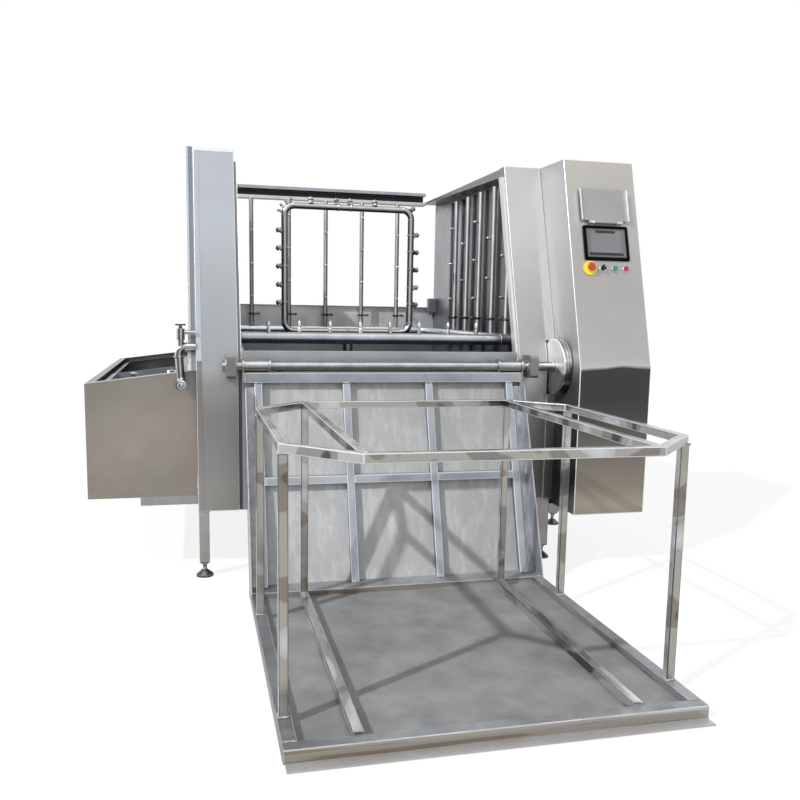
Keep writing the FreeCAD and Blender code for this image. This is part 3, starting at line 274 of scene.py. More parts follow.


# Covers: painted sky light on the leaning face, painted shade on the upright face, a painted highlight band at the fold
# and a painted bright band along the top edge
def cover_steel():
    s = sheet_settings()
    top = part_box("left_front_cover")[1].z
    return steel("cover_steel", [(-1.0, grey(0.10)), (0.0, s.grey), (0.12, s.grey), (0.26, s.pale), (1.0, s.pale)],
                 [(0.0, grey(1.30, 0.03)), (0.06, grey(1.32, 0.03)), (0.23, grey(0.98, 0.02)), (0.36, grey(0.90)),
                  (0.405, grey(1.15, -0.02)), (0.415, grey(1.06, -0.05)), (0.60, grey(0.98, -0.02)),
                  (1.0, grey(1.03))], (0.268, 1.714), cloud=0.06, cloud_scale=1.6,
                 tint=((1.0, 1.0, 1.0), (1.03, 1.0, 0.96)),
                 bands=(2, top - 0.022, top, [(0.0, grey(1.0)), (0.25, grey(1.0)), (0.30, (0.84, 0.88, 0.95)),
                                              (0.42, (0.84, 0.88, 0.95)), (0.48, grey(1.6)), (1.0, grey(1.7))]))


# Right cover: painted shade darkening its upright face towards the foot, and a painted highlight at the fold
def right_cover_steel():
    s = sheet_settings()
    return steel("right_cover_steel", [(-1.0, grey(0.10)), (0.0, s.grey), (0.12, s.grey), (0.26, grey(0.54)),
                                       (1.0, s.pale)],
                 [(0.0, grey(0.60, 0.02)), (0.22, grey(0.95)), (0.32, grey(1.35)), (0.405, grey(2.2)),
                  (0.415, grey(1.20)), (0.60, grey(1.10)), (1.0, grey(1.02))], (0.268, 1.714), cloud=0.07,
                 cloud_scale=1.6)


# Linings: dark painted shade, lighter towards the top, with painted shade again right under the rim
def lining_steel():
    s = sheet_settings()
    return steel("lining_steel", [(-1.0, grey(0.05)), (0.0, s.dark), (1.0, grey(0.30, -0.03))],
                 [(0.0, grey(1.6)), (0.5, grey(1.8)), (0.95, grey(2.0)), (1.0, grey(0.35))], (0.8, 1.69),
                 grain=(9.0, 9.0, 0.35), brush=0.42, cloud=0.22, roughness=0.30, metal=0.92)


# Chamber: painted shade low down, growing lighter towards the top
def chamber_steel():
    return steel("chamber_steel", [(-1.0, grey(0.06)), (0.0, grey(0.62, -0.02)), (1.0, grey(0.45, -0.03))],
                 [(0.0, grey(0.7)), (0.45, grey(0.8)), (0.66, grey(0.85)), (0.74, grey(1.15)), (1.0, grey(1.4))],
                 (0.6, 1.10), cloud=0.16, cloud_scale=5.0, brush=0.12, roughness=0.34, wave=2.0, metal=0.4)


# Cabinet: painted reflections on its lower face, with warm light bands near the foot and dark just below the fold, and
# lighter above the fold
def cabinet_steel():
    return steel("cabinet_steel", [(-1.0, grey(0.12)), (0.0, grey(0.48, 0.0)), (0.26, grey(0.50, 0.01)),
                                   (1.0, grey(0.55))],
                 [(0.0, (0.52, 0.45, 0.36)), (0.04, (0.68, 0.60, 0.49)), (0.09, (0.48, 0.43, 0.35)),
                  (0.14, (0.42, 0.37, 0.31)), (0.20, (0.28, 0.26, 0.235)), (0.27, (0.13, 0.125, 0.125)),
                  (0.33, (0.085, 0.085, 0.09)), (0.404, (0.09, 0.09, 0.10)), (0.409, grey(1.10, 0.0)),
                  (0.43, grey(0.98, 0.0)),
                  (0.60, grey(0.90, 0.01)), (0.85, grey(0.95, 0.02)), (1.0, (1.02, 1.0, 0.92))],
                 (0.246, 1.714), cloud=0.10, cloud_scale=1.3)


def cabinet_side_steel():
    """The cabinet's side: painted light beside the leaning face, and a dark painted reflection below it."""
    return steel("cabinet_side_steel", [(-1.0, grey(0.10)), (0.0, grey(0.50, -0.01)), (1.0, grey(0.55))],
                 [(0.0, grey(0.085)), (0.28, grey(0.10)), (0.36, grey(0.26)), (0.42, grey(0.90)),
                  (0.60, grey(1.06)), (1.0, grey(0.86))], (0.246, 1.714), cloud=0.08, cloud_scale=1.8)


def tank_steel():
    s = sheet_settings()
    return steel("tank_steel", [(-1.0, grey(0.15)), (0.0, s.warm), (1.0, grey(0.36, -0.01))],
                 [(0.0, grey(1.05, 0.01)), (0.5, grey(1.12, 0.01)), (0.9, grey(1.0)), (1.0, grey(0.88, -0.02))],
                 (0.322, 0.84), cloud=0.11, cloud_scale=4.0, wave=1.5, tint=((1.05, 0.995, 0.965), (0.96, 0.99, 0.97)))


# Inside of the tank: dark painted shade
def tank_inner_steel():
    return steel("tank_inner_steel", [(-1.0, grey(0.03)), (0.0, grey(0.24, -0.08)), (1.0, grey(0.26, -0.08))],
                 None, cloud=0.30, cloud_scale=5.0, brush=0.1, roughness=0.3)


# Back sheet: painted shade towards its top and towards its right; the drips are water streaks
def panel_steel():
    return steel("panel_steel", [(-1.0, grey(0.20)), (0.0, grey(0.46)), (0.26, grey(0.51, -0.01)), (1.0, grey(0.55))],
                 [(0.0, grey(1.04)), (0.5, grey(1.0)), (0.9, grey(0.92)), (1.0, grey(0.86))], (0.04, 0.79),
                 cloud=0.07, cloud_scale=6.0, brush=0.05, roughness=0.45, wave=3.0, metal=0.15, drips=0.17,
                 bands=(0, -0.52, 0.62, [(0.0, grey(1.06)), (0.45, grey(1.02)), (0.75, grey(0.90)), (1.0, grey(0.80))]))


def deck_steel():
    return steel("deck_steel", [(-1.0, grey(0.12)), (0.0, grey(0.2)), (1.0, grey(0.30, -0.01))],
                 None, grain=(1.0, 9.0, 1.0), cloud=0.20, cloud_scale=8.0, brush=0.07, roughness=0.45, wave=1.5,
                 metal=0.20, tint=(grey(0.94), grey(1.07)))


def frame_steel():
    t = tube_settings()
    return steel("frame_steel", [(-1.0, grey(0.12)), (0.0, t.satin), (0.26, grey(0.36)), (1.0, grey(0.40))],
                 None, grain=(1.0, 1.0, 8.0), cloud=0.12, cloud_scale=5.0, brush=0.08, roughness=0.30)


def rim_steel():
    """The front of the platform's outer tube: long painted reflections in brown, bright and dark streaks."""
    return polished_steel("rim_steel", (0.36, 0.335, 0.30), 0.35, 6.0, (0.22, 1.0, 7.0), 1.20, 0.12, 0.6)


def rim_side_steel():
    """The platform's tubes that run back: crisp light and dark lengths of painted reflection."""
    return polished_steel("rim_side_steel", (0.30, 0.31, 0.325), 0.30, 5.0, (4.0, 0.5, 4.0), 1.25, 0.02, 0.6)


def rim_top_steel():
    """The platform's tube tops, darker at the left."""
    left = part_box("platform_frame")[0].x
    return steel("rim_top_steel", [(-1.0, grey(0.1)), (0.0, grey(0.25)), (1.0, (0.31, 0.325, 0.345))], None,
                 grain=(0.4, 0.4, 1.0), cloud=0.26, cloud_scale=7.0, brush=0.18, roughness=0.34, metal=0.3,
                 bands=(0, left, left + 0.3, [(0.0, grey(0.62)), (0.30, grey(0.66)), (0.60, grey(1.0)),
                                              (1.0, grey(1.0))]))


def rim_outer_steel():
    return steel("rim_outer_steel", [(-1.0, grey(0.05)), (0.0, grey(0.14)), (1.0, grey(0.2))], None,
                 cloud=0.3, cloud_scale=9.0, metal=0.3)


# Rounded rim edges: a painted highlight, with painted shade where they face left
def rim_edge_steel():
    return steel("rim_edge_steel", [(-1.0, grey(0.2)), (0.0, grey(0.62)), (1.0, grey(0.66))], None, cloud=0.22,
                 cloud_scale=9.0, brush=0.10, roughness=0.30,
                 across=[(-1.0, grey(0.30)), (-0.3, grey(0.45)), (-0.15, grey(1.0)), (1.0, grey(0.9))])


# A painted highlight for folds, rounded edges and a few faces that face up or sideways
def painted_highlight_steel():
    s = sheet_settings()
    return steel("painted_highlight_steel", [(-1.0, grey(0.3)), (0.0, s.fold), (1.0, s.fold)], None, cloud=0.05, brush=0.03,
                 roughness=0.30)


def polished_steel(name="polished_steel", base=None, dark=0.14, scale=7.5, stretch=(1.0, 1.0, 1.0), top=1.15,
                   warm=0.03, metal=0.8, left=None):
    """Polished tube with painted reflections of the workshop: crisp dark, brown and bright patches along its length,
    lighter where it faces up.

    left is what its sides that face left are multiplied by, as painted light from the key lamp.
    """
    made, tree, shader = start_material(name)
    t = tube_settings()
    base = base or t.polished
    level = base[1]
    place = add_node(tree, "ShaderNodeTexCoord").outputs
    patch = stretched_noise(tree, place["Object"], stretch, scale, 1.5, 0.5)
    up = add_node(tree, "ShaderNodeSeparateXYZ", {"Vector": place["Normal"]}).outputs["Z"]
    lean = add_node(tree, "ShaderNodeMath", {0: up, 1: 0.12}, operation="MULTIPLY").outputs["Value"]
    spread = add_node(tree, "ShaderNodeMath", {0: patch, 1: lean}, operation="ADD").outputs["Value"]
    # The dark, brown and bright stops below are painted reflections
    brown = (level * (0.62 + warm), level * 0.60, level * (0.59 - warm))
    shade = ramp(tree, spread, [(0.28, grey(level * dark, 0.04)), (0.36, grey(level * dark * 1.6, 0.05)),
                                (0.38, brown), (0.45, brown), (0.47, tuple(base)), (0.62, tuple(base)),
                                (0.64, grey(min(level * top * 1.1, 0.9), -0.01)),
                                (0.80, grey(min(level * top * 1.5, 0.95), -0.01))])
    fine = stretched_noise(tree, place["Object"], (1.0, 1.0, 1.0), 160.0, 3.0, 0.7)
    shade = tinted(tree, shade, mapped(tree, fine, 0.25, 0.75, 0.94, 1.06))
    if left:
        side = add_node(tree, "ShaderNodeSeparateXYZ", {"Vector": place["Normal"]}).outputs["X"]
        lit = ramp(tree, mapped(tree, side, -1.0, 1.0, 0.0, 1.0), [(0.0, left), (0.2, left), (0.4, grey(1.0)),
                                                                   (1.0, grey(1.0))])
        shade = add_node(tree, "ShaderNodeVectorMath", {0: shade, 1: lit}, operation="MULTIPLY").outputs["Vector"]
    tree.links.new(shade, shader.inputs["Base Color"])
    tree.links.new(mapped(tree, patch, 0.3, 0.7, 0.14, 0.26), shader.inputs["Roughness"])
    shader.inputs["Metallic"].default_value = metal
    rise = add_node(tree, "ShaderNodeBump", {"Height": patch, "Strength": 0.2, "Distance": 0.003})
    tree.links.new(rise.outputs["Normal"], shader.inputs["Normal"])
    return made


def pipe_steel():
    """Bent pipe: a painted highlight along its middle between edges darkened by painted shade, whichever way it runs.
    """
    return steel("pipe_steel", [(-1.0, grey(0.05)), (-0.5, grey(0.14)), (-0.1, grey(0.34)), (0.25, grey(0.66)),
                                (0.5, grey(0.58)), (0.8, grey(0.26)), (1.0, grey(0.20))],
                 None, grain=(5.0, 5.0, 5.0), cloud=0.10, cloud_scale=12.0, brush=0.10, roughness=0.22, metal=0.85,
                 across=[(-1.0, grey(0.20)), (-0.6, grey(0.50)), (-0.25, grey(1.25)), (0.0, grey(1.0)),
                         (0.4, grey(0.65)), (0.8, grey(0.30)), (1.0, grey(0.20))])


def wall_pipe_steel():
    """The upright pipes, painted paler than the others, with a painted highlight down the side that faces left and
    painted shade on the right.
    """
    return steel("wall_pipe_steel", [(-1.0, grey(0.1)), (0.0, grey(0.52)), (1.0, grey(0.5))], None,
                 grain=(5.0, 5.0, 0.2), cloud=0.14, cloud_scale=9.0, brush=0.05, roughness=0.22, metal=0.6,
                 across=[(-1.0, grey(0.35)), (-0.80, grey(0.9)), (-0.60, grey(1.6)), (-0.30, grey(1.4)), (0.0, grey(0.85)),
                         (0.5, grey(0.50)), (1.0, grey(0.22))])


def lever_steel():
    return polished_steel("lever_steel", (0.09, 0.09, 0.095), 0.3, 40.0, top=2.5)


def chrome_steel():
    """Bright plated pipe and cock, with painted reflections, dark and white in turn."""
    return steel("chrome_steel", [(-1.0, grey(0.04)), (-0.6, grey(0.50)), (-0.35, grey(0.08)), (-0.1, grey(0.30)),
                                  (0.15, grey(0.30)), (0.35, grey(0.9)), (0.55, grey(0.7)), (0.75, grey(0.12)),
                                  (1.0, grey(0.50))],
                 None, grain=(4.0, 4.0, 4.0), cloud=0.15, cloud_scale=30.0, brush=0.10, roughness=0.12, metal=0.95,
                 across=[(-1.0, grey(2.6)), (-0.70, grey(1.8)), (-0.50, grey(0.35)), (-0.20, grey(0.30)),
                         (0.05, grey(1.6)), (0.25, grey(1.3)), (0.45, grey(0.3)), (0.8, grey(0.35)), (1.0, grey(1.2))])


def shaft_steel():
    """A painted highlight along the top, grey in the middle, and brown mottled painted reflections below."""
    return round_steel("shaft_steel", 1.0)


def round_steel(name, level):
    """A bar or sleeve across the front: a painted highlight above its middle, and bands of grey painted reflection
    below.
    """
    painted_light_bands = [(-1.0, 0.03), (-0.85, 0.07), (-0.68, 0.24), (-0.55, 0.30), (-0.40, 0.12), (-0.15, 0.20), (0.15, 0.36),
             (0.38, 0.62), (0.52, 0.78), (0.66, 0.60), (0.78, 0.26), (0.90, 0.16), (1.0, 0.30)]
    stops = [(up, grey(shade * level, 0.10 if up < -0.2 else 0.0)) for up, shade in painted_light_bands]
    return steel(name, stops, None, grain=(0.35, 6.0, 6.0), cloud=0.14, cloud_scale=16.0, brush=0.16,
                 roughness=0.25, metal=0.8)


def bright_steel():
    t = tube_settings()
    return polished_steel("bright_steel", t.bright, 0.30, 26.0, warm=0.0)


def weld_steel():
    return steel("weld_steel", [(-1.0, grey(0.18, 0.05)), (0.0, grey(0.34, 0.04)), (1.0, grey(0.55, 0.02))], None,
                 grain=(1.0, 1.0, 1.0), brush=0.35, cloud=0.3, cloud_scale=30.0, roughness=0.34)


def plastic(name, base, roughness=0.35, speck=0.06, clear=0.0, gloss=0.4):
    """Moulded plastic or paint with a faint grain."""
    made, tree, shader = start_material(name)
    place = add_node(tree, "ShaderNodeTexCoord").outputs
    fine = stretched_noise(tree, place["Object"], (1.0, 1.0, 1.0), 700.0, 2.0, 0.5)
    slow = stretched_noise(tree, place["Object"], (1.0, 1.0, 1.0), 40.0, 2.0, 0.5)
    shade = tinted(tree, ramp(tree, slow, [(0.3, tuple(c * (1 - speck) for c in base)),
                                          (0.7, tuple(min(1.0, c * (1 + speck)) for c in base))]),
                   mapped(tree, fine, 0.3, 0.7, 0.97, 1.03))
    tree.links.new(shade, shader.inputs["Base Color"])
    tree.links.new(mapped(tree, fine, 0.3, 0.7, roughness * 0.85, roughness * 1.15), shader.inputs["Roughness"])
    shader.inputs["Specular IOR Level"].default_value = gloss
    shader.inputs["Coat Weight"].default_value = clear
    shader.inputs["Coat Roughness"].default_value = 0.08
    rise = add_node(tree, "ShaderNodeBump", {"Height": fine, "Strength": 0.15, "Distance": 0.0002})
    tree.links.new(rise.outputs["Normal"], shader.inputs["Normal"])
    return made


MADE = {}


def finish(maker, *values):
    """Each material is made once."""
    key = (maker.__name__,) + tuple(str(v) for v in values)
    if key not in MADE:
        MADE[key] = maker(*values)
    return MADE[key]


# Building meshes

def piece_from(name, parts, materials, body, stands_for=()):
    """Turns a bmesh into a piece that rides on a body."""
    mesh = bpy.data.meshes.new(name)
    for edge in parts.edges:
        edge.smooth = len(edge.link_faces) != 2 or edge.calc_face_angle() < math.radians(40)
    for face in parts.faces:
        face.smooth = True
    parts.to_mesh(mesh)
    parts.free()
    for material in materials:
        mesh.materials.append(material)
    piece = bpy.data.objects.new(name, mesh)
    bpy.context.scene.collection.objects.link(piece)
    shade = piece.modifiers.new("Even shading", "WEIGHTED_NORMAL")
    shade.keep_sharp = True
    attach(piece, body)
    if stands_for:
        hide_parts(*stands_for)
    return piece


def join_into(whole, part):
    """Moves one bmesh's faces into another."""
    mesh = bpy.data.meshes.new("part")
    part.to_mesh(mesh)
    part.free()
    whole.from_mesh(mesh)
    bpy.data.meshes.remove(mesh)


def rounded(part, width, segments=2, edge_index=-1, least=30.0):
    """Rounds every edge sharper than an angle. The rounding can have its own material."""
    bmesh.ops.dissolve_limit(part, angle_limit=math.radians(0.3), verts=part.verts, edges=part.edges)
    sharp = [e for e in part.edges if len(e.link_faces) == 2 and e.calc_face_angle() > math.radians(least)]
    if sharp and width > 0:
        bmesh.ops.bevel(part, geom=sharp, offset=width, segments=segments, profile=0.5, affect="EDGES",
                        clamp_overlap=True, material=edge_index)
    return part


def prism(outline, axis, low, high, width=0.0, edge_index=-1, segments=2):
    """An outline across an axis, pulled from low to high, with rounded edges."""
    part = bmesh.new()
    others = [k for k in range(3) if k != axis]
    rings = []
    for end in (low, high):
        ring = []
        for pair in outline:
            place = [0.0, 0.0, 0.0]
            place[axis] = end
            place[others[0]], place[others[1]] = pair
            ring.append(part.verts.new(place))
        rings.append(ring)
    part.faces.new(rings[0])
    part.faces.new(list(reversed(rings[1])))
    count = len(outline)
    for k in range(count):
        j = (k + 1) % count
        part.faces.new((rings[0][j], rings[0][k], rings[1][k], rings[1][j]))
    bmesh.ops.recalc_face_normals(part, faces=part.faces)
    return rounded(part, width, segments, edge_index)


def block(low, high, width=0.0, edge_index=-1):
    """A block between two corners, with rounded edges."""
    return prism([(low[1], low[2]), (high[1], low[2]), (high[1], high[2]), (low[1], high[2])], 0, low[0], high[0],
                 width, edge_index)


def aim(at, direction):
    """A matrix whose Z runs along a direction from a place."""
    turned = Vector(direction).to_track_quat("Z", "Y").to_matrix().to_4x4()
    return Matrix.Translation(Vector(at)) @ turned


def turned(at, direction, outline, sides=20):
    """A turned piece: (distance along, radius) pairs about a direction."""
    part = bmesh.new()
    place = aim(at, direction)
    rings = []
    for along, radius in outline:
        ring = []
        for k in range(sides):
            a = math.tau * (k + 0.5) / sides
            ring.append(part.verts.new(place @ Vector((radius * math.cos(a), radius * math.sin(a), along))))
        rings.append(ring)
    for one, two in zip(rings, rings[1:]):
        for k in range(sides):
            j = (k + 1) % sides
            part.faces.new((one[k], one[j], two[j], two[k]))
    part.faces.new(list(reversed(rings[0])))
    part.faces.new(rings[-1])
    bmesh.ops.recalc_face_normals(part, faces=part.faces)
    return part


def ring_tube(at, direction, ring_radius, thickness, sides=24, around=8):
    """A round ring, such as a weld or a clamp's bead."""
    part = bmesh.new()
    place = aim(at, direction)
    rows = []
    for k in range(sides):
        a = math.tau * k / sides
        row = []
        for m in range(around):
            b = math.tau * m / around
            r = ring_radius + thickness * math.cos(b)
            row.append(part.verts.new(place @ Vector((r * math.cos(a), r * math.sin(a), thickness * math.sin(b)))))
        rows.append(row)
    for k in range(sides):
        one, two = rows[k], rows[(k + 1) % sides]
        for m in range(around):
            n = (m + 1) % around
            part.faces.new((one[m], two[m], two[n], one[n]))
    bmesh.ops.recalc_face_normals(part, faces=part.faces)
    return part


def bead(points, radius, closed=True, seed=1):
    """A weld bead along a path, with its ripples."""
    dice = random.Random(seed)
    step = tube_settings().ripple
    path = list(points) + ([points[0]] if closed else [])
    places = []
    for a, b in zip(path, path[1:]):
        run = Vector(b) - Vector(a)
        count = max(2, int(run.length / step))
        for k in range(count):
            places.append((Vector(a) + run * (k / count), run.normalized()))
    part = bmesh.new()
    rings = []
    for k, (at, way) in enumerate(places):
        swell = radius * (1.0 + 0.22 * (k % 2) + dice.uniform(-0.12, 0.12))
        side = way.orthogonal().normalized()
        other = way.cross(side)
        ring = []
        for m in range(6):
            a = math.tau * m / 6
            ring.append(part.verts.new(at + side * (swell * math.cos(a)) + other * (swell * math.sin(a))))
        rings.append(ring)
    pairs = list(zip(rings, rings[1:])) + ([(rings[-1], rings[0])] if closed else [])
    for one, two in pairs:
        shift = min(range(6), key=lambda s: (one[0].co - two[s].co).length)
        for m in range(6):
            n = (m + 1) % 6
            part.faces.new((one[m], one[n], two[(n + shift) % 6], two[(m + shift) % 6]))
    if not closed:
        part.faces.new(rings[0])
        part.faces.new(rings[-1])
    bmesh.ops.recalc_face_normals(part, faces=part.faces)
    return part


def solids(node):
    """The closed solids of a CAD node, each as a bmesh with its corners joined."""
    mesh = NODES[node].data
    found, keys, faces, open_edges = [], {}, [], set()
    for polygon in mesh.polygons:
        corners = []
        for index in polygon.vertices:
            key = tuple(round(c, 6) for c in mesh.vertices[index].co)
            corners.append(keys.setdefault(key, len(keys)))
        faces.append(corners)
        for a, b in zip(corners, corners[1:] + corners[:1]):
            open_edges ^= {(min(a, b), max(a, b))}
        if not open_edges:
            part = bmesh.new()
            verts = [part.verts.new(place) for place in keys]
            for corner in faces:
                if len(set(corner)) > 2:
                    try:
                        part.faces.new([verts[c] for c in corner])
                    except ValueError:
                        pass
            found.append(part)
            keys, faces = {}, []
    return found


def span_of(part):
    """Lowest and highest corner of a bmesh."""
    xs, ys, zs = zip(*(v.co for v in part.verts))
    return Vector((min(xs), min(ys), min(zs))), Vector((max(xs), max(ys), max(zs)))


def rounded_copy(name, node, width, materials, body, edge_index=-1, choose=None):
    """A CAD node again, with each of its solids' edges rounded as a real tube or sheet is."""
    whole = bmesh.new()
    for part in solids(node):
        rounded(part, width, 2, edge_index)
        if choose:
            for face in part.faces:
                if edge_index < 0 or face.material_index != edge_index:
                    face.material_index = choose(face)
        join_into(whole, part)
    return piece_from(name, whole, materials, body, (node,))


def repaint(material, *nodes):
    """A CAD node whose shape is right keeps it and gets a better material."""
    for node in nodes:
        NODES[node].data.materials.clear()
        NODES[node].data.materials.append(material)


def axis_of(part):
    """The middle, direction and reach of a long solid, from its wide end to its narrow one."""
    places = [v.co.copy() for v in part.verts]
    middle = sum(places, Vector()) / len(places)
    way = max((p - middle for p in places), key=lambda d: d.length).normalized()
    for _ in range(12):
        way = sum(((p - middle) * (p - middle).dot(way) for p in places), Vector()).normalized()
    along = [(p - middle).dot(way) for p in places]
    low, high = min(along), max(along)

    def width(end):
        return max((p - middle - way * (p - middle).dot(way)).length for p, a in zip(places, along)
                   if abs(a - end) < 1e-4)

    if width(high) > width(low):
        way, low, high = -way, -high, -low
    return middle + way * low, way, high - low


def cover_outline(low_y, depth, bottom, top):
    """A front cover from the side: upright below the fold and leaning back above it."""
    back = (top - COVER_FOLD) * math.tan(COVER_LEAN)
    return [(low_y, bottom), (low_y, COVER_FOLD), (low_y + back, top), (low_y + back + depth, top),
            (low_y + depth, COVER_FOLD), (low_y + depth, bottom)]


def on_slope(x, up, out):
    """A place on the cabinet's leaning face, and the ways up along it and out of it."""
    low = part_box("control_cabinet")[0].y
    rise = Vector((0.0, math.sin(CABINET_LEAN), math.cos(CABINET_LEAN)))
    away = Vector((0.0, -math.cos(CABINET_LEAN), math.sin(CABINET_LEAN)))
    return Vector((x, low, CABINET_FOLD)) + rise * up + away * out


def slope_matrix():
    """Local X right, Y up the leaning face, Z out of it."""
    origin = on_slope(0.0, 0.0, 0.0)
    up = on_slope(0.0, 1.0, 0.0) - origin
    out = on_slope(0.0, 0.0, 1.0) - origin
    return Matrix.Translation(origin) @ Matrix((Vector((1, 0, 0)), up, out)).transposed().to_4x4()


def bolt(at, direction, radius, height, sides=6):
    """A bolt head with a chamfered top."""
    return turned(at, direction, [(0.0, radius), (height * 0.75, radius), (height, radius * 0.86)], sides)


def washer(at, direction, radius, height):
    return turned(at, direction, [(0.0, radius), (height * 0.7, radius), (height, radius * 0.93)], 24)


def disc_face():
    """Where the drive disc's flat side begins."""
    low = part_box("drive_disc")[0]
    return min(v.co.x for v in NODES["drive_disc"].data.vertices if v.co.z < low.z + 0.02)


class PieceOperator(Operator):
    """Shared ways of the operators below."""
    bl_options = {"REGISTER", "UNDO"}


# Covers, walls and chamber

class WASHER_OT_covers(PieceOperator):
    """Folded covers beside the chamber, with painted highlights on their folds, and the strips inside them"""
    bl_idname = "washer.covers"
    bl_label = "Front Covers"

    def execute(self, context):
        s = sheet_settings()
        low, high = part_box("left_front_cover")
        outline = cover_outline(low.y, high.y - low.y - (high.z - COVER_FOLD) * math.tan(COVER_LEAN), low.z, high.z)
        left = prism(outline, 0, low.x, high.x, s.fold_radius, 1, 3)
        self.seam(left, outline, low.x + 0.022, 0.0012)
        piece_from("left_cover_skin", left, [finish(cover_steel), finish(painted_highlight_steel)], "base",
                   ("left_front_cover",))
        low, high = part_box("right_front_cover")
        slot_left = disc_face() - SLOT_GAP
        whole = prism(outline, 0, low.x, slot_left, s.fold_radius, 1, 3)
        for part in solids("right_front_cover"):
            a, b = span_of(part)
            if a.x >= slot_left - 1e-4:
                join_into(whole, rounded(part, s.fold_radius * 0.6, 2, 1))
            else:
                part.free()
        piece_from("right_cover_skin", whole, [finish(right_cover_steel), finish(soft_painted_highlight_steel)], "base",
                   ("right_front_cover",))
        rounded_copy("seal_strip_skin", "seal_strips", 0.0008, [finish(strip_steel), finish(painted_light_strip_steel)],
                     "base", -1, self.strip_face)
        return {"FINISHED"}

    def strip_face(self, face):
        """The right strip gets painted light above the fold, and so does the inner edge of the left one."""
        at = face.calc_center_median()
        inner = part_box("seal_strips")[0].x + 0.0085
        return 1 if at.z > COVER_FOLD and at.x > inner else 0

    def seam(self, whole, outline, x, depth):
        """A raised lap where the outer skin folds round the cover."""
        front = outline[:3]
        for (y0, z0), (y1, z1) in zip(front, front[1:]):
            strip = prism([(y0 - depth, z0), (y0, z0), (y1, z1), (y1 - depth, z1)], 0, x - 0.020, x - 0.001, 0.0)
            join_into(whole, strip)


def soft_painted_highlight_steel():
    """A fold with a softer painted highlight, only a little lighter where it faces left."""
    return steel("soft_painted_highlight_steel", [(-1.0, grey(0.3)), (0.0, grey(0.80)), (1.0, grey(0.82))], None, cloud=0.05,
                 brush=0.03, roughness=0.30, across=[(-1.0, grey(0.74)), (-0.15, grey(0.80)), (0.1, grey(1.0)),
                                                     (1.0, grey(1.0))])


# Seal strips: painted shade below the fold, lighter above it
def strip_steel():
    return steel("strip_steel", [(-1.0, grey(0.05)), (0.0, grey(0.15, -0.03)), (0.2, grey(0.26, -0.06)),
                                 (1.0, grey(0.4))],
                 [(0.0, grey(0.9)), (0.42, grey(0.9)), (0.5, grey(1.1)), (1.0, grey(1.2))], (0.27, 1.67),
                 cloud=0.08)


# The seal strips' painted light above the fold and along the left strip's inner edge
def painted_light_strip_steel():
    return steel("painted_light_strip_steel", [(-1.0, grey(0.2)), (0.0, grey(0.78, 0.02)), (1.0, grey(0.85))], None,
                 cloud=0.08, brush=0.06, roughness=0.32)


class WASHER_OT_walls(PieceOperator):
    """Side walls, their top rims and linings, the chamber's floor and walls, and the rear rail"""
    bl_idname = "washer.walls"
    bl_label = "Chamber Walls"

    def execute(self, context):
        s = sheet_settings()
        mats = [finish(wall_steel), finish(lining_steel), finish(chamber_steel), finish(painted_highlight_steel),
                finish(skin_edge_steel), finish(rim_lip_steel)]
        for side in ("left", "right"):
            rounded_copy(side + "_wall_skin", side + "_side_wall", 0.0012, mats, "base", 3,
                         self.wall_face)
        rounded_copy("lining_skin", "wall_linings", 0.003, [finish(lining_steel)], "base")
        rounded_copy("chamber_skin", "wash_chamber", 0.0012,
                     [finish(chamber_steel), finish(front_wall_steel), finish(plain_steel)], "base",
                     -1, self.chamber_face)
        rounded_copy("rear_rail_skin", "rear_rail", 0.0012, [finish(rail_steel)], "base")
        rounded_copy("junction_box_skin", "junction_box", 0.004, [finish(cover_steel)], "base")
        self.box_screws()
        return {"FINISHED"}

    def wall_face(self, face):
        """A side wall's outside, its inside, its underside, its front edge and its top rim's inner lip."""
        at = face.calc_center_median()
        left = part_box("left_side_wall")
        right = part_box("right_side_wall")
        on_left = at.x < (left[0].x + right[1].x) / 2 + 0.011
        inward = face.normal.x if on_left else -face.normal.x
        if inward > 0.7:
            return 5 if at.z > left[1].z - RIM_LIP else 1
        if face.normal.z < -0.7:
            return 2
        return 4 if on_left and face.normal.y < -0.3 and at.x < left[0].x + 0.035 else 0

    def chamber_face(self, face):
        """The chamber's front wall, and the plain outside of its back and floor."""
        at = face.calc_center_median()
        if at.y < 0.1:
            return 1 if at.z > 0.5 else 2
        outside = (face.normal.y > 0.7 and at.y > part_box("wash_chamber")[1].y - 0.02) or face.normal.z < -0.7
        return 2 if outside else 0

    def box_screws(self):
        low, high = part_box("junction_box")
        whole = bmesh.new()
        for x in (low.x + 0.008, high.x - 0.008):
            for z in (low.z + 0.008, high.z - 0.008):
                join_into(whole, turned((x, low.y, z), (0, -1, 0), [(0, 0.0032), (0.0012, 0.003), (0.0018, 0.0018)], 12))
        for x in (low.x + 0.016, high.x - 0.016):
            gland = [(0.0, 0.008), (0.004, 0.008), (0.005, 0.0065), (0.014, 0.0065), (0.018, 0.004)]
            join_into(whole, turned((x, (low.y + high.y) / 2, low.z), (0, 0, -1), gland, 12))
        piece_from("junction_box_screws", whole, [finish(bright_steel)], "base")


def wall_steel():
    return steel("wall_steel", [(-1.0, grey(0.08)), (0.0, grey(0.46, -0.02)), (0.3, grey(0.5)),
                                (0.7, grey(0.40, -0.04)), (1.0, grey(0.34, -0.05))],
                 None, cloud=0.07, cloud_scale=1.5, wave=2.0)


def plain_steel():
    """The chamber's outer sheet."""
    return steel("plain_steel", [(-1.0, grey(0.10)), (0.0, grey(0.40, -0.02)), (1.0, grey(0.45, -0.02))], None,
                 cloud=0.06, cloud_scale=1.6, wave=2.0)


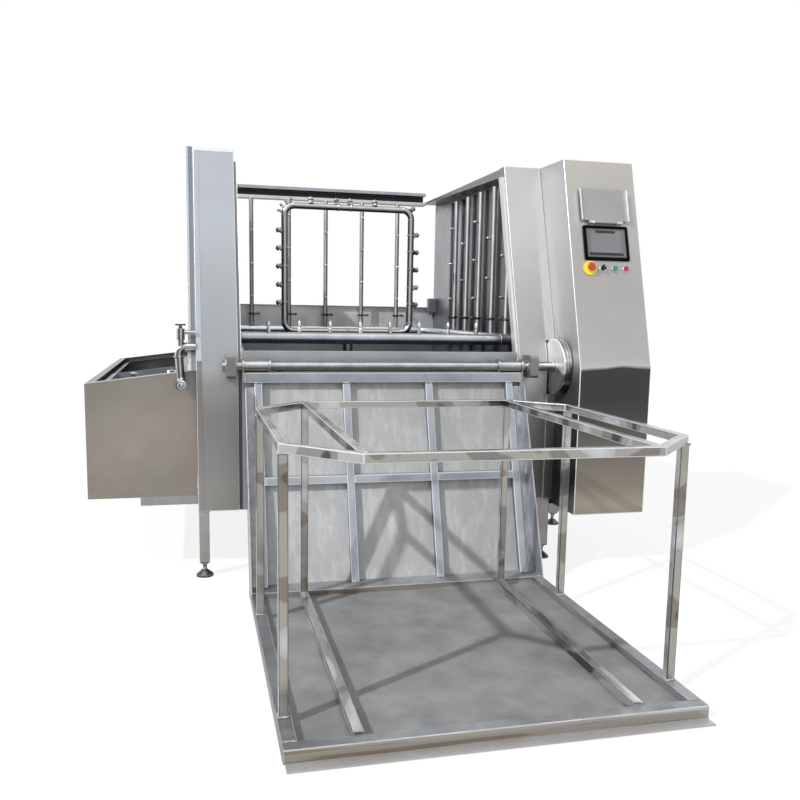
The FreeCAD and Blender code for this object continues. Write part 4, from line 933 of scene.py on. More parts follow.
def skin_edge_steel():
    """The left wall's front edge: a painted highlight outside and grey blue painted shade beside the cover."""
    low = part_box("left_side_wall")[0].x
    return steel("skin_edge_steel", [(-1.0, grey(0.08)), (0.0, grey(0.46, -0.02)), (0.3, grey(0.5)),
                                     (1.0, grey(0.5))],
                 None, cloud=0.08, cloud_scale=1.5,
                 bands=(0, low, low + 0.030, [(0.0, grey(1.30, -0.05)), (0.34, grey(1.22, -0.05)),
                                              (0.40, grey(0.50, -0.12)), (0.90, grey(0.62, -0.12)),
                                              (0.94, grey(1.0)), (1.0, grey(1.0))]))


def rim_lip_steel():
    return steel("rim_lip_steel", [(-1.0, grey(0.03)), (0.0, grey(0.20, -0.09)), (1.0, grey(0.3, -0.05))], None,
                 grain=(1.0, 0.2, 8.0), brush=0.2, cloud=0.12, cloud_scale=4.0, roughness=0.3)


# Chamber's front wall: painted shade towards its foot
def front_wall_steel():
    return steel("front_wall_steel", [(-1.0, grey(0.1)), (0.0, grey(0.40, -0.06)), (1.0, grey(0.55, -0.04))],
                 [(0.0, grey(0.5)), (0.9, grey(0.95)), (1.0, grey(1.05))], (0.5, 0.906), cloud=0.10,
                 cloud_scale=5.0)


def rail_steel():
    """The channel across the back: a light blue painted reflection on its top, black painted shade in its recess and a
    painted light lower edge.
    """
    low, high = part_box("rear_rail")
    return steel("rail_steel", [(-1.0, grey(0.02)), (0.0, grey(0.62)), (1.0, grey(0.30))], None, cloud=0.12,
                 cloud_scale=9.0, roughness=0.3,
                 bands=(2, low.z, high.z, [(0.0, grey(1.15)), (0.24, grey(1.15)), (0.26, grey(0.04)),
                                           (0.73, grey(0.04)), (0.75, (0.62, 0.69, 0.77)),
                                           (1.0, (0.64, 0.70, 0.78))]))


# Cabinet

class WASHER_OT_cabinet(PieceOperator):
    """Control cabinet with its folds, back door, hinges, latch, vents and cable glands"""
    bl_idname = "washer.cabinet"
    bl_label = "Control Cabinet"

    def execute(self, context):
        s = sheet_settings()
        low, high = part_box("control_cabinet")
        lean = (high.z - CABINET_FOLD) * math.tan(CABINET_LEAN)
        outline = [(low.y, low.z), (low.y, CABINET_FOLD), (low.y + lean, high.z), (high.y, high.z), (high.y, low.z)]
        whole = prism(outline, 0, low.x, high.x, s.fold_radius, 1, 3)
        for face in whole.faces:
            if face.normal.x < -0.9:
                face.material_index = 2
        piece_from("cabinet_skin", whole, [finish(cabinet_steel), finish(painted_highlight_steel), finish(cabinet_side_steel)],
                   "base", ("control_cabinet",))
        door_low, door_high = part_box("cabinet_back_door")
        skin = block(Vector((door_low.x + 0.001, door_low.y + 0.0012, door_low.z + 0.001)),
                     Vector((door_high.x - 0.001, door_high.y, door_high.z - 0.001)), 0.003, 1)
        piece_from("cabinet_door_skin", skin, [finish(cabinet_steel), finish(painted_highlight_steel)], "base",
                   ("cabinet_back_door",))
        self.fittings(door_low, door_high)
        self.glands(low, high)
        return {"FINISHED"}

    def fittings(self, low, high):
        """Two hinges on one side of the door, a latch on the other, and a vent with louvres."""
        whole = bmesh.new()
        top = high.z - 0.16
        back = high.y
        for z in (low.z + 0.16, top):
            join_into(whole, turned((high.x - 0.012, back - 0.004, z - 0.03), (0, 0, 1),
                                    [(0, 0.0036), (0.06, 0.0036)], 16))
        middle = (low.z + high.z) / 2
        join_into(whole, turned((low.x + 0.03, back - 0.003, middle), (0, 1, 0), [(0, 0.011), (0.0025, 0.011)], 24))
        piece_from("cabinet_door_fittings", whole, [finish(bright_steel)], "base")
        vents = bmesh.new()
        for k in range(9):
            z = low.z + 0.18 + k * 0.018
            join_into(vents, block((low.x + 0.09, back - 0.0026, z), (high.x - 0.09, back - 0.0002, z + 0.009), 0.001))
        piece_from("cabinet_vents", vents, [finish(frame_steel)], "base")

    def glands(self, low, high):
        """Cable glands in the cabinet's floor."""
        whole = bmesh.new()
        for k in range(4):
            x = low.x + 0.08 + k * 0.05
            at = (x, high.y - 0.12, low.z)
            join_into(whole, turned(at, (0, 0, -1), [(0, 0.014), (0.006, 0.014)], 6))
            join_into(whole, turned(at, (0, 0, -1), [(0.006, 0.011), (0.020, 0.010), (0.026, 0.005)], 20))
        piece_from("cabinet_glands", whole, [finish(plastic, "black_plastic", tuple(plastic_settings().black))],
                   "base")


def loop_points(width, height, inset, radius, out, x, up):
    """A rounded rectangle on the cabinet's face."""
    points = []
    w, h = width / 2 - inset, height / 2 - inset
    r = max(radius - inset, 0.0008)
    for cx, cy, start in ((w - r, h - r, 0), (-w + r, h - r, 90), (-w + r, -h + r, 180), (w - r, -h + r, 270)):
        for k in range(5):
            a = math.radians(start + k * 22.5)
            points.append(Vector((x + cx + r * math.cos(a), up + cy + r * math.sin(a), out)))
    return points


def lofted(loops, place, indices=None, cap=None):
    """Faces between loops of the same number of points, moved by a matrix."""
    part = bmesh.new()
    rings = [[part.verts.new(place @ p) for p in loop] for loop in loops]
    for number, (one, two) in enumerate(zip(rings, rings[1:])):
        for k in range(len(one)):
            j = (k + 1) % len(one)
            face = part.faces.new((one[k], one[j], two[j], two[k]))
            face.material_index = indices[number] if indices else 0
    if cap is not None:
        face = part.faces.new(rings[-1])
        face.material_index = cap
    bmesh.ops.recalc_face_normals(part, faces=part.faces)
    return part


class WASHER_OT_screen(PieceOperator):
    """Touch screen, its folding cover with the hinge, and the four controls under it"""
    bl_idname = "washer.screen"
    bl_label = "Screen and Buttons"

    def execute(self, context):
        p = plastic_settings()
        place = slope_matrix()
        low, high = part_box("screen_bezel")
        x = (low.x + high.x) / 2
        width, height = high.x - low.x, 0.150
        up = 0.533
        spec = [(0.0, 0.0), (0.0, 0.0058), (0.0010, 0.0074), (0.0024, 0.0080), (0.0110, 0.0080), (0.0132, 0.0070),
                (0.0140, 0.0061)]
        loops = [loop_points(width, height, inset, 0.007, out, x, up) for inset, out in spec]
        frame_part = lofted(loops, place)
        piece_from("screen_frame", frame_part, [finish(plastic, "bezel_plastic", tuple(p.bezel), 0.35, 0.06, 0.0, 0.04)],
                   "base",
                   ("screen_bezel",))
        wide, tall = width - 0.028, height - 0.028
        loops = [loop_points(wide, tall, inset, 0.002, out, x, up)
                 for inset, out in ((0.0, 0.0002), (0.0, 0.0060), (0.0075, 0.0060), (0.0078, 0.0057))]
        glass = lofted(loops, place, [0, 0, 1], 1)
        piece_from("screen_glass_plate", glass, [finish(glass_border), finish(display_glass)], "base",
                   ("screen_panel",))
        self.cover()
        self.buttons(place)
        return {"FINISHED"}

    def cover(self):
        # The cover's side faces get the painted highlight
        rounded_copy("screen_cover_skin", "screen_cover", 0.0005, [finish(screen_cover_steel), finish(painted_highlight_steel)],
                     "cover", -1, lambda face: 1 if abs(face.normal.x) > 0.9 else 0)
        rounded_copy("hinge_knuckles", "cover_hinge", 0.0006, [finish(bright_steel)], "base")

    def buttons(self, place):
        p = plastic_settings()
        out = (place @ Vector((0, 0, 1)) - place @ Vector()).normalized()
        repaint(finish(plastic, "yellow_plastic", tuple(p.yellow), 0.3, 0.04, 0.3), "e_stop_base")
        head = self.centre("e_stop_button")
        outline = [(-0.018, 0.0105), (-0.0105, 0.0105), (-0.0100, 0.0165), (-0.0060, 0.0176), (0.0010, 0.0172),
                   (0.0030, 0.0158), (0.0042, 0.0124), (0.0046, 0.0070), (0.0044, 0.0)]
        shell = turned(head, out, [(a, max(r, 0.0004)) for a, r in outline], 36)
        piece_from("e_stop_head", shell, [finish(plastic, "red_plastic", tuple(p.red), 0.25, 0.04, 0.5)], "e_stop",
                   ("e_stop_button",))
        rings = bmesh.new()
        for part in solids("button_collars"):
            low, high = span_of(part)
            part.free()
            at = (low + high) / 2 - out * 0.003
            outline = [(0.0, 0.0150), (0.0036, 0.0150), (0.0052, 0.0143), (0.0060, 0.0130), (0.0060, 0.0119),
                       (0.0020, 0.01175)]
            join_into(rings, turned(at, out, outline, 32))
        piece_from("collar_rings", rings, [finish(bright_steel)], "base", ("button_collars",))
        for body, node, name, shade in (("start", "start_button", "green", p.green),
                                        ("stop", "stop_button", "crimson", p.crimson)):
            at = self.centre(node) - out * 0.0034
            outline = [(0.0030, 0.0113), (0.0052, 0.0113), (0.0062, 0.0108), (0.0066, 0.0098), (0.0060, 0.0088),
                       (0.0058, 0.0)]
            cap = turned(at, out, [(a, max(r, 0.0004)) for a, r in outline], 32)
            piece_from(node + "_cap", cap, [finish(plastic, name + "_plastic", tuple(shade), 0.3, 0.04, 0.4)], body,
                       (node,))
        repaint(finish(plastic, "black_plastic", tuple(p.black)), "selector_knob")
        pointer = self.centre("selector_knob") + out * 0.0122
        mark = block((pointer.x - 0.0008, pointer.y - 0.0004, pointer.z + 0.001),
                     (pointer.x + 0.0008, pointer.y + 0.0006, pointer.z + 0.008), 0.0002)
        piece_from("selector_mark", mark, [finish(plastic, "white_plastic", (0.8, 0.8, 0.78))], "selector")

    def centre(self, node):
        low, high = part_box(node)
        return (low + high) / 2


def screen_cover_steel():
    return steel("screen_cover_steel", [(-1.0, grey(0.26)), (0.0, grey(0.33)), (0.26, grey(0.375, 0.005)),
                                        (1.0, grey(0.55))], None, cloud=0.05, cloud_scale=6.0, roughness=0.32)


def glass_border():
    return plastic("glass_border", (0.15, 0.155, 0.165), 0.20, 0.02, 0.0, 0.2)


def display_glass():
    """Display behind glass: grey, with a dark strip along its foot and another along its top, and darker towards both
    sides.
    """
    made, tree, shader = start_material("display_glass")
    p = plastic_settings()
    place = add_node(tree, "ShaderNodeTexCoord").outputs
    parts = add_node(tree, "ShaderNodeSeparateXYZ", {"Vector": place["Generated"]}).outputs
    strips = []
    for low, high, left, right in ((0.05, 0.16, 0.06, 0.92), (0.86, 0.95, 0.24, 0.74)):
        tall = ramp(tree, parts["Z"], [(low - 0.02, grey(0.0)), (low, grey(1.0)), (high, grey(1.0)),
                                       (high + 0.02, grey(0.0))])
        wide = ramp(tree, parts["X"], [(left - 0.01, grey(0.0)), (left, grey(1.0)), (right, grey(1.0)),
                                       (right + 0.01, grey(0.0))])
        strips.append(add_node(tree, "ShaderNodeVectorMath", {0: tall, 1: wide}, operation="MULTIPLY").outputs["Vector"])
    dark = add_node(tree, "ShaderNodeVectorMath", {0: strips[0], 1: strips[1]}, operation="ADD").outputs["Vector"]
    light = ramp(tree, dark, [(0.0, tuple(p.display)), (1.0, grey(0.03))])
    across = ramp(tree, parts["X"], [(0.0, grey(0.75)), (0.10, grey(0.80)), (0.12, grey(1.0)), (0.86, grey(1.05)),
                                     (0.88, grey(0.85)), (1.0, grey(0.80))])
    shade = add_node(tree, "ShaderNodeVectorMath", {0: light, 1: across}, operation="MULTIPLY").outputs["Vector"]
    slow = stretched_noise(tree, place["Object"], (1.0, 1.0, 1.0), 9.0, 2.0, 0.5)
    tree.links.new(tinted(tree, shade, mapped(tree, slow, 0.3, 0.7, 0.92, 1.08)), shader.inputs["Base Color"])
    shader.inputs["Roughness"].default_value = 0.22
    shader.inputs["Specular IOR Level"].default_value = 0.3
    return made


# Tank, with its tray and float, and the pipe end beside it

class WASHER_OT_tank(PieceOperator):
    """Water tank with its rim, ledge, filter tray, float valve and brackets"""
    bl_idname = "washer.tank"
    bl_label = "Water Tank"

    def execute(self, context):
        low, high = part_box("water_tank")
        centre = (low + high) / 2

        def inside(face):
            away = face.calc_center_median() - centre
            flat = Vector((away.x / (high.x - low.x), away.y / (high.y - low.y), 0.0))
            # Faces that face up, above the tank's floor, get the painted highlight; inner faces get the tank's inner
            # painted shade
            if face.normal.z > 0.7:
                return 2 if face.calc_center_median().z > low.z + 0.1 else 1
            return 1 if face.normal.dot(flat) < -0.01 else 0

        rounded_copy("tank_skin", "water_tank", 0.0010, [finish(tank_steel), finish(tank_inner_steel),
                                                         finish(painted_highlight_steel)], "base", 2, inside)
        rounded_copy("tank_rim_skin", "tank_rim", 0.0010, [finish(tank_rim_steel)], "base")
        rounded_copy("filter_tray_skin", "filter_tray", 0.0008, [finish(tank_inner_steel)], "base")
        rounded_copy("bracket_skin", "tank_brackets", 0.002, [finish(frame_steel)], "base")
        self.tray_fittings()
        repaint(finish(float_brass), "float_valve")
        return {"FINISHED"}

    def tray_fittings(self):
        """A lifting knob and a bow handle on the tray."""
        low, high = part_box("filter_tray")
        whole = bmesh.new()
        floor = low.z + 0.03
        at = (low.x + 0.12, low.y + 0.25, floor)
        join_into(whole, turned(at, (0, 0, 1), [(0.0, 0.006), (0.034, 0.006), (0.036, 0.012), (0.040, 0.016),
                                                (0.046, 0.016), (0.050, 0.011), (0.052, 0.0004)], 24))
        points = []
        for k in range(13):
            a = math.pi * k / 12
            points.append((high.x - 0.050 - 0.030 * math.cos(a), low.y + 0.16, floor + 0.010 + 0.055 * math.sin(a)))
        join_into(whole, bead(points, 0.0042, False, 3))
        piece_from("tray_handles", whole, [finish(bright_steel)], "base")


def tank_rim_steel():
    return steel("tank_rim_steel", [(-1.0, grey(0.04)), (0.0, grey(0.14, -0.04)), (1.0, grey(0.15, -0.06))], None,
                 cloud=0.25, roughness=0.28)


def float_brass():
    return steel("float_brass", [(-1.0, (0.3, 0.22, 0.1)), (0.0, (0.6, 0.45, 0.2)), (1.0, (0.75, 0.58, 0.28))], None,
                 cloud=0.15, cloud_scale=20.0, roughness=0.25)


class WASHER_OT_outlet(PieceOperator):
    """Pipe end beside the left cover, with its clamp, cock and end ferrule"""
    bl_idname = "washer.outlet"
    bl_label = "Pipe End and Cock"

    def execute(self, context):
        repaint(finish(chrome_steel), "outlet_pipe")
        whole = bmesh.new()
        for part in solids("pipe_clamps"):
            low, high = span_of(part)
            part.free()
            middle = (low + high) / 2
            size = high - low
            upright = size.z < size.x
            way = self.run_way() if upright else Vector((0, -1, 0))
            radius = 0.021
            wide = 0.0140 if upright else size.y
            start = middle - way * wide / 2
            join_into(whole, turned(start, way, [(0.0, radius * 0.70), (wide * 0.25, radius * 0.80),
                                                 (wide * 0.35, radius), (wide * 0.65, radius),
                                                 (wide * 0.75, radius * 0.80), (wide, radius * 0.70)], 28))
            if not upright:
                join_into(whole, turned(start + way * wide, way, [(0.0, radius * 0.5), (0.004, radius * 0.45),
                                                                  (0.006, radius * 0.2)], 24))
        piece_from("clamp_shells", whole, [finish(chrome_steel)], "base", ("pipe_clamps",))
        low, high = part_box("valve_handle")
        middle = (low + high) / 2
        lever = bmesh.new()
        join_into(lever, turned((middle.x, middle.y, low.z), (0, 0, 1),
                                [(0.0, 0.007), (0.008, 0.007), (0.010, 0.0062), (0.016, 0.0062)], 20))
        for side in (-1, 1):
            tip = Vector((middle.x + side * 0.0165, middle.y, high.z - 0.0032))
            join_into(lever, turned((middle.x, middle.y, high.z - 0.0035), tip - Vector((middle.x, middle.y,
                      high.z - 0.0035)), [(0.0, 0.0036), (0.010, 0.0028), (0.0150, 0.0040), (0.0180, 0.0036),
                                          (0.0198, 0.0018)], 16))
        piece_from("cock_lever", lever, [finish(lever_steel)], "handle", ("valve_handle",))
        return {"FINISHED"}

    def run_way(self):
        """The way up the leaning run of the pipe, between its two bends."""
        run = solids("outlet_pipe")[2]
        low, high = span_of(run)
        run.free()
        lean = (high.x - low.x) - (high.y - low.y)
        return Vector((lean, 0.0, high.z - low.z)).normalized()


# Pipes and nozzles

class WASHER_OT_pipes(PieceOperator):
    """Ring main, inner loop, risers and wall pipes, with a weld at each joint"""
    bl_idname = "washer.pipes"
    bl_label = "Pipes"

    def execute(self, context):
        steel_pipe = finish(pipe_steel)
        repaint(steel_pipe, "inner_spray_loop", "riser_pipe", "suction_pipe", "drain_outlet")
        repaint(finish(wall_pipe_steel), "rear_spray_pipes", "side_spray_pipes")
        repaint(finish(main_steel), "ring_main")
        welds = bmesh.new()
        for node in ("ring_main", "inner_spray_loop", "riser_pipe", "suction_pipe", "outlet_pipe"):
            for part in solids(node):
                low, high = span_of(part)
                part.free()
                size = sorted(high - low)
                if size[2] < size[0] * 1.6 or abs(size[0] - size[1]) > 0.0006:
                    continue
                way = max(((high - low)[k], k) for k in range(3))[1]
                for end in (low[way], high[way]):
                    at = (low + high) / 2
                    at[way] = end
                    direction = Vector((0, 0, 0))
                    direction[way] = 1.0
                    join_into(welds, ring_tube(at, direction, size[0] / 2 - 0.0004, 0.0016, 28, 6))
        piece_from("pipe_welds", welds, [finish(weld_steel)], "base")
        return {"FINISHED"}


def main_steel():
    """Ring main: a painted highlight along the top, grey blue painted reflection below, and painted light growing
    towards the back of the chamber.
    """
    return steel("main_steel", [(-1.0, grey(0.05)), (-0.5, grey(0.16, -0.04)), (0.0, (0.33, 0.37, 0.41)),
                                (0.40, (0.50, 0.54, 0.60)), (0.60, grey(0.75, -0.02)), (0.85, grey(0.40, -0.05)),
                                (1.0, grey(0.30, -0.05))],
                 None, grain=(0.5, 6.0, 6.0), cloud=0.14, cloud_scale=10.0, brush=0.10, roughness=0.25, metal=0.8,
                 bands=(1, 0.0, 1.6, [(0.0, grey(1.0)), (0.2, grey(1.15)), (0.8, grey(1.6)), (1.0, grey(1.8))]))


def nozzle_shape(at, way, reach, flat):
    """A hexagonal foot, a neck and a round spray head with its slot ring."""
    whole = bmesh.new()
    join_into(whole, turned(at, way, [(-0.001, flat), (reach * 0.28, flat), (reach * 0.34, flat * 0.85)], 6))
    join_into(whole, turned(at, way, [(reach * 0.30, flat * 0.62), (reach * 0.44, flat * 0.62),
                                      (reach * 0.48, flat * 0.95), (reach * 0.60, flat * 1.02),
                                      (reach * 0.74, flat * 0.98), (reach * 0.84, flat * 0.74),
                                      (reach * 0.86, flat * 0.50), (reach * 0.98, flat * 0.42),
                                      (reach, flat * 0.20)], 16))
    return whole


class WASHER_OT_nozzles(PieceOperator):
    """Spray nozzles on the ring main, the loop and the wall pipes"""
    bl_idname = "washer.nozzles"
    bl_label = "Nozzles"

    def execute(self, context):
        for node, material in (("wall_nozzles", bright_steel), ("inner_loop_nozzles", loop_nozzle_steel),
                               ("ring_main_nozzles", front_nozzle_steel)):
            whole = bmesh.new()
            for part in solids(node):
                at, way, reach = axis_of(part)
                flat = max((v.co - at - way * (v.co - at).dot(way)).length for v in part.verts) * 0.866
                part.free()
                join_into(whole, nozzle_shape(at, way, reach, flat))
            piece_from(node + "_turned", whole, [finish(material)], "base", (node,))
        self.saddles()
        return {"FINISHED"}

    def saddles(self):
        """A clip round the loop behind each of its nozzles."""
        whole = bmesh.new()
        for part in solids("inner_loop_nozzles"):
            at, way, reach = axis_of(part)
            part.free()
            if abs(way.x) > 0.98:
                join_into(whole, ring_tube(at - way * 0.016, (0, 0, 1), 0.0172, 0.0026, 24, 6))
            elif way.z > 0.98:
                join_into(whole, ring_tube(at - way * 0.016, (1, 0, 0), 0.0172, 0.0026, 24, 6))
        piece_from("loop_nozzle_clips", whole, [finish(bright_steel)], "base")


def loop_nozzle_steel():
    return polished_steel("loop_nozzle_steel", (0.40, 0.41, 0.43), 0.3, 30.0)


def front_nozzle_steel():
    return polished_steel("front_nozzle_steel", (0.66, 0.67, 0.68), 0.45, 26.0)


class WASHER_OT_clamps(PieceOperator):
    """Pipe unions at the foot of each wall pipe, with their wing nuts"""
    bl_idname = "washer.clamps"
    bl_label = "Unions and Wing Nuts"

    def execute(self, context):
        whole = bmesh.new()
        for part in solids("union_clamps"):
            low, high = span_of(part)
            part.free()
            at = Vector(((low.x + high.x) / 2, (low.y + high.y) / 2, low.z))
            r, h = (high.x - low.x) / 2, high.z - low.z
            join_into(whole, turned(at, (0, 0, 1), [(0.0, r * 0.68), (h * 0.18, r * 0.82), (h * 0.30, r),
                                                    (h * 0.44, r), (h * 0.48, r * 0.9), (h * 0.52, r * 0.9),
                                                    (h * 0.56, r), (h * 0.70, r), (h * 0.82, r * 0.82),
                                                    (h, r * 0.68)], 24))
        piece_from("union_bands", whole, [finish(union_steel)], "base", ("union_clamps",))
        wings = bmesh.new()
        parts = solids("clamp_wing_nuts")
        for part in parts:
            low, high = span_of(part)
            size = high - low
            middle = (low + high) / 2
            part.free()
            wide = max(size.x, size.y)
            along_x = size.x > size.y
            if wide > 0.03:
                side = Vector((1, 0, 0)) if along_x else Vector((0, 1, 0))
                other = Vector((0, 1, 0)) if along_x else Vector((1, 0, 0))
                join_into(wings, turned(middle - other * 0.0034, other, [(0, 0.0095), (0.0022, 0.0095),
                                                                         (0.0068, 0.0070)], 14))
                for way in (-1, 1):
                    end = middle + side * (way * 0.0125) + Vector((0, 0, 0.0005))
                    join_into(wings, turned(end - other * 0.0030, other, [(0, 0.0065), (0.0012, 0.0074),
                                                                          (0.0048, 0.0074), (0.0060, 0.0065)], 18))
            else:
                way = Vector((1, 0, 0)) if along_x else Vector((0, 1, 0))
                reach = wide
                start = middle - way * reach / 2
                join_into(wings, turned(start, way, [(0, 0.0058), (reach * 0.5, 0.0058), (reach * 0.54, 0.0048),
                                                     (reach, 0.0048)], 14))
        piece_from("wing_nuts", wings, [finish(union_steel)], "base", ("clamp_wing_nuts",))
        return {"FINISHED"}


def union_steel():
    return polished_steel("union_steel", (0.085, 0.085, 0.09), 0.3, 60.0, top=3.0)


# Shaft, drive and base

class WASHER_OT_shaft(PieceOperator):
    """Shaft, sleeves and lugs, bearing blocks with their bolts, and the drive disc"""
    bl_idname = "washer.shaft"
    bl_label = "Shaft and Disc"

    def execute(self, context):
        repaint(finish(shaft_steel), "cradle_shaft")
        repaint(finish(sleeve_steel), "shaft_sleeves")
        rounded_copy("bearing_blocks", "shaft_bearings", 0.0028, [finish(bearing_steel), finish(painted_highlight_steel)], "base",
                     1)
        self.collars()
        self.disc()
        return {"FINISHED"}

    def collars(self):
        """A narrow collar on the shaft at each side of a bearing, and a grease nipple on its top."""
        whole = bmesh.new()
        for part in solids("shaft_bearings"):
            low, high = span_of(part)
            part.free()
            for x, way in ((low.x, -1), (high.x, 1)):
                join_into(whole, turned((x, SHAFT_Y, SHAFT_Z), (way, 0, 0), [(0.0, 0.0255), (0.0030, 0.0255),
                                                                             (0.0040, 0.0240), (0.0040, 0.0192)], 36))
            top = ((low.x + high.x) / 2, SHAFT_Y, high.z - 0.0004)
            join_into(whole, turned(top, (0, 0, 1), [(0.0, 0.0036), (0.0010, 0.0036)], 6))
            join_into(whole, turned(top, (0, 0, 1), [(0.0010, 0.0018), (0.0016, 0.0024), (0.0022, 0.0012)], 12))
        piece_from("bearing_collars", whole, [finish(bright_steel)], "base")

    def disc(self):
        low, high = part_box("drive_disc")
        face = disc_face()
        radius = SHAFT_Z - low.z
        thick = high.x - face
        rim = [(0.0, 0.0192), (0.0, radius * 0.80), (0.0003, radius * 0.803), (0.0003, radius * 0.895),
               (0.0, radius * 0.90), (0.0, radius * 0.965), (0.0020, radius * 0.990), (0.0040, radius),
               (thick * 0.34, radius), (thick * 0.37, radius * 0.985), (thick * 0.47, radius * 0.985),
               (thick * 0.50, radius), (thick - 0.0100, radius), (thick - 0.0085, radius * 0.985),
               (thick - 0.0078, radius * 0.985), (thick - 0.0070, radius), (thick - 0.0010, radius),
               (thick, radius * 0.99), (thick, 0.0192)]
        whole = turned((face, SHAFT_Y, SHAFT_Z), (1, 0, 0), rim, 128)
        join_into(whole, turned((low.x, SHAFT_Y, SHAFT_Z), (1, 0, 0), [(0.0, 0.0192), (0.0, 0.0225), (0.0012, 0.0240),
                                                                      (0.0062, 0.0240)], 48))
        join_into(whole, turned((face + thick / 2, SHAFT_Y, SHAFT_Z + radius - 0.0020), (0, 0, 1),
                                [(0.0, 0.0050), (0.0030, 0.0050), (0.0034, 0.0070), (0.0080, 0.0070),
                                 (0.0090, 0.0060)], 6))
        piece_from("disc_turned", whole, [finish(disc_steel)], "cradle", ("drive_disc",))


def sleeve_steel():
    return round_steel("sleeve_steel", 1.12)


def disc_steel():
    """Turned disc: painted light above its middle and painted shade below, with two painted highlights round its rim.
    """
    return steel("disc_steel", [(-1.0, grey(0.10)), (-0.64, grey(0.16)), (-0.53, grey(2.6)), (-0.42, grey(0.30)),
                                (-0.1, grey(0.50)), (0.15, grey(0.52)), (0.27, grey(1.0)), (0.38, grey(0.52)),
                                (0.7, grey(0.40)), (1.0, grey(0.45))],
                 [(0.0, grey(0.18)), (0.43, grey(0.22)), (0.50, grey(0.95)), (1.0, grey(1.10))], (0.73, 0.975),
                 grain=(1.0, 3.0, 3.0), cloud=0.12, cloud_scale=9.0, brush=0.05, roughness=0.30, metal=0.7,
                 across=[(-1.0, grey(1.9)), (-0.85, grey(1.8)), (-0.5, grey(1.3)), (0.0, grey(0.62)),
                         (1.0, grey(0.6))])


def bearing_steel():
    return steel("bearing_steel", [(-1.0, grey(0.05)), (0.0, grey(0.22)), (1.0, grey(0.40))], None, cloud=0.12,
                 cloud_scale=20.0, roughness=0.34)


class WASHER_OT_base(PieceOperator):
    """Base frame with its welds, and the screw feet"""
    bl_idname = "washer.base"
    bl_label = "Base Frame and Feet"

    def execute(self, context):
        t = tube_settings()
        rounded_copy("base_tubes", "base_frame", t.corner, [finish(leg_steel)], "base")
        repaint(finish(foot_steel), "levelling_feet")
        marks = bmesh.new()
        plugs = bmesh.new()
        for number, part in enumerate(solids("base_frame")):
            low, high = span_of(part)
            part.free()
            size = high - low
            if size.z > 0.1 and size.x < 0.05:
                for z in (high.z - 0.0005,):
                    loop = [(low.x, low.y, z), (high.x, low.y, z), (high.x, high.y, z), (low.x, high.y, z)]
                    join_into(marks, bead(loop, t.bead * 0.7, True, number))
                join_into(plugs, block((low.x + 0.0005, low.y + 0.0005, low.z - 0.0012),
                                       (high.x - 0.0005, high.y - 0.0005, low.z + 0.002), 0.0008))
        piece_from("frame_welds", marks, [finish(weld_steel)], "base")
        piece_from("leg_plugs", plugs, [finish(plastic, "black_plastic", tuple(plastic_settings().black))], "base")
        pads = bmesh.new()
        for part in solids("levelling_feet"):
            low, high = span_of(part)
            part.free()
            at = Vector(((low.x + high.x) / 2, (low.y + high.y) / 2, 0.0))
            join_into(pads, turned(at, (0, 0, 1), [(0.0, 0.0325), (0.0008, 0.0343), (0.0055, 0.0343),
                                                   (0.0065, 0.0335)], 32))
        piece_from("foot_pads", pads, [finish(plastic, "black_plastic", tuple(plastic_settings().black))], "base")
        threads = bmesh.new()
        for part in solids("levelling_feet"):
            low, high = span_of(part)
            part.free()
            x, y = (low.x + high.x) / 2, (low.y + high.y) / 2
            z = 0.0275
            while z < 0.048:
                join_into(threads, ring_tube((x, y, z), (0, 0, 1), 0.0080, 0.0006, 20, 5))
                z += 0.0018
        piece_from("foot_threads", threads, [finish(bright_steel)], "base")
        return {"FINISHED"}


def leg_steel():
    return steel("leg_steel", [(-1.0, grey(0.10)), (0.0, grey(0.34, 0.02)), (1.0, grey(0.40))],
                 [(0.0, grey(0.85, 0.05)), (1.0, grey(1.08))], (0.058, 0.268), cloud=0.14, cloud_scale=9.0)


def foot_steel():
    return polished_steel("foot_steel", (0.24, 0.23, 0.22), 0.3, 14.0)


class WASHER_OT_drive(PieceOperator):
    """Spray pump, its motor and tray, and the gear motor in the cabinet"""
    bl_idname = "washer.drive"
    bl_label = "Pump and Motors"

    def execute(self, context):
        paint = finish(plastic, "motor_paint", tuple(plastic_settings().motor), 0.38)
        repaint(paint, "drive_gearmotor", "pump_motor")
        repaint(finish(cast_steel), "spray_pump")
        rounded_copy("pump_tray_skin", "pump_tray", 0.0015, [finish(frame_steel)], "base")
        rounded_copy("gearmotor_stand_skin", "gearmotor_stand", 0.0015, [finish(frame_steel)], "base")
        fins = bmesh.new()
        low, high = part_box("pump_motor")
        axis = Vector((0, (low.y + high.y) / 2, 0.165))
        for k in range(24):
            a = math.tau * k / 24
            if math.sin(a) < -0.75:
                continue
            out = Vector((0, math.cos(a), math.sin(a)))
            side = Vector((0, -math.sin(a), math.cos(a))) * 0.0012
            start, end = low.x + 0.02, low.x + 0.25
            ring = []
            for x in (start, end):
                inner = axis + out * 0.069
                outer = axis + out * 0.0735
                ring += [Vector((x, 0, 0)) + inner - side, Vector((x, 0, 0)) + outer - side,
                         Vector((x, 0, 0)) + outer + side, Vector((x, 0, 0)) + inner + side]
            part = bmesh.new()
            v = [part.verts.new(p) for p in ring]
            for f in ((0, 1, 2, 3), (7, 6, 5, 4), (0, 4, 5, 1), (1, 5, 6, 2), (2, 6, 7, 3), (3, 7, 4, 0)):
                part.faces.new([v[n] for n in f])
            bmesh.ops.recalc_face_normals(part, faces=part.faces)
            join_into(fins, part)
        piece_from("pump_motor_fins", fins, [paint], "base")
        return {"FINISHED"}


def cast_steel():
    return steel("cast_steel", [(-1.0, grey(0.12)), (0.0, grey(0.22)), (1.0, grey(0.3))], None,
                 grain=(1.0, 1.0, 1.0), brush=0.2, cloud=0.2, cloud_scale=14.0, roughness=0.5)


# Cradle and cage

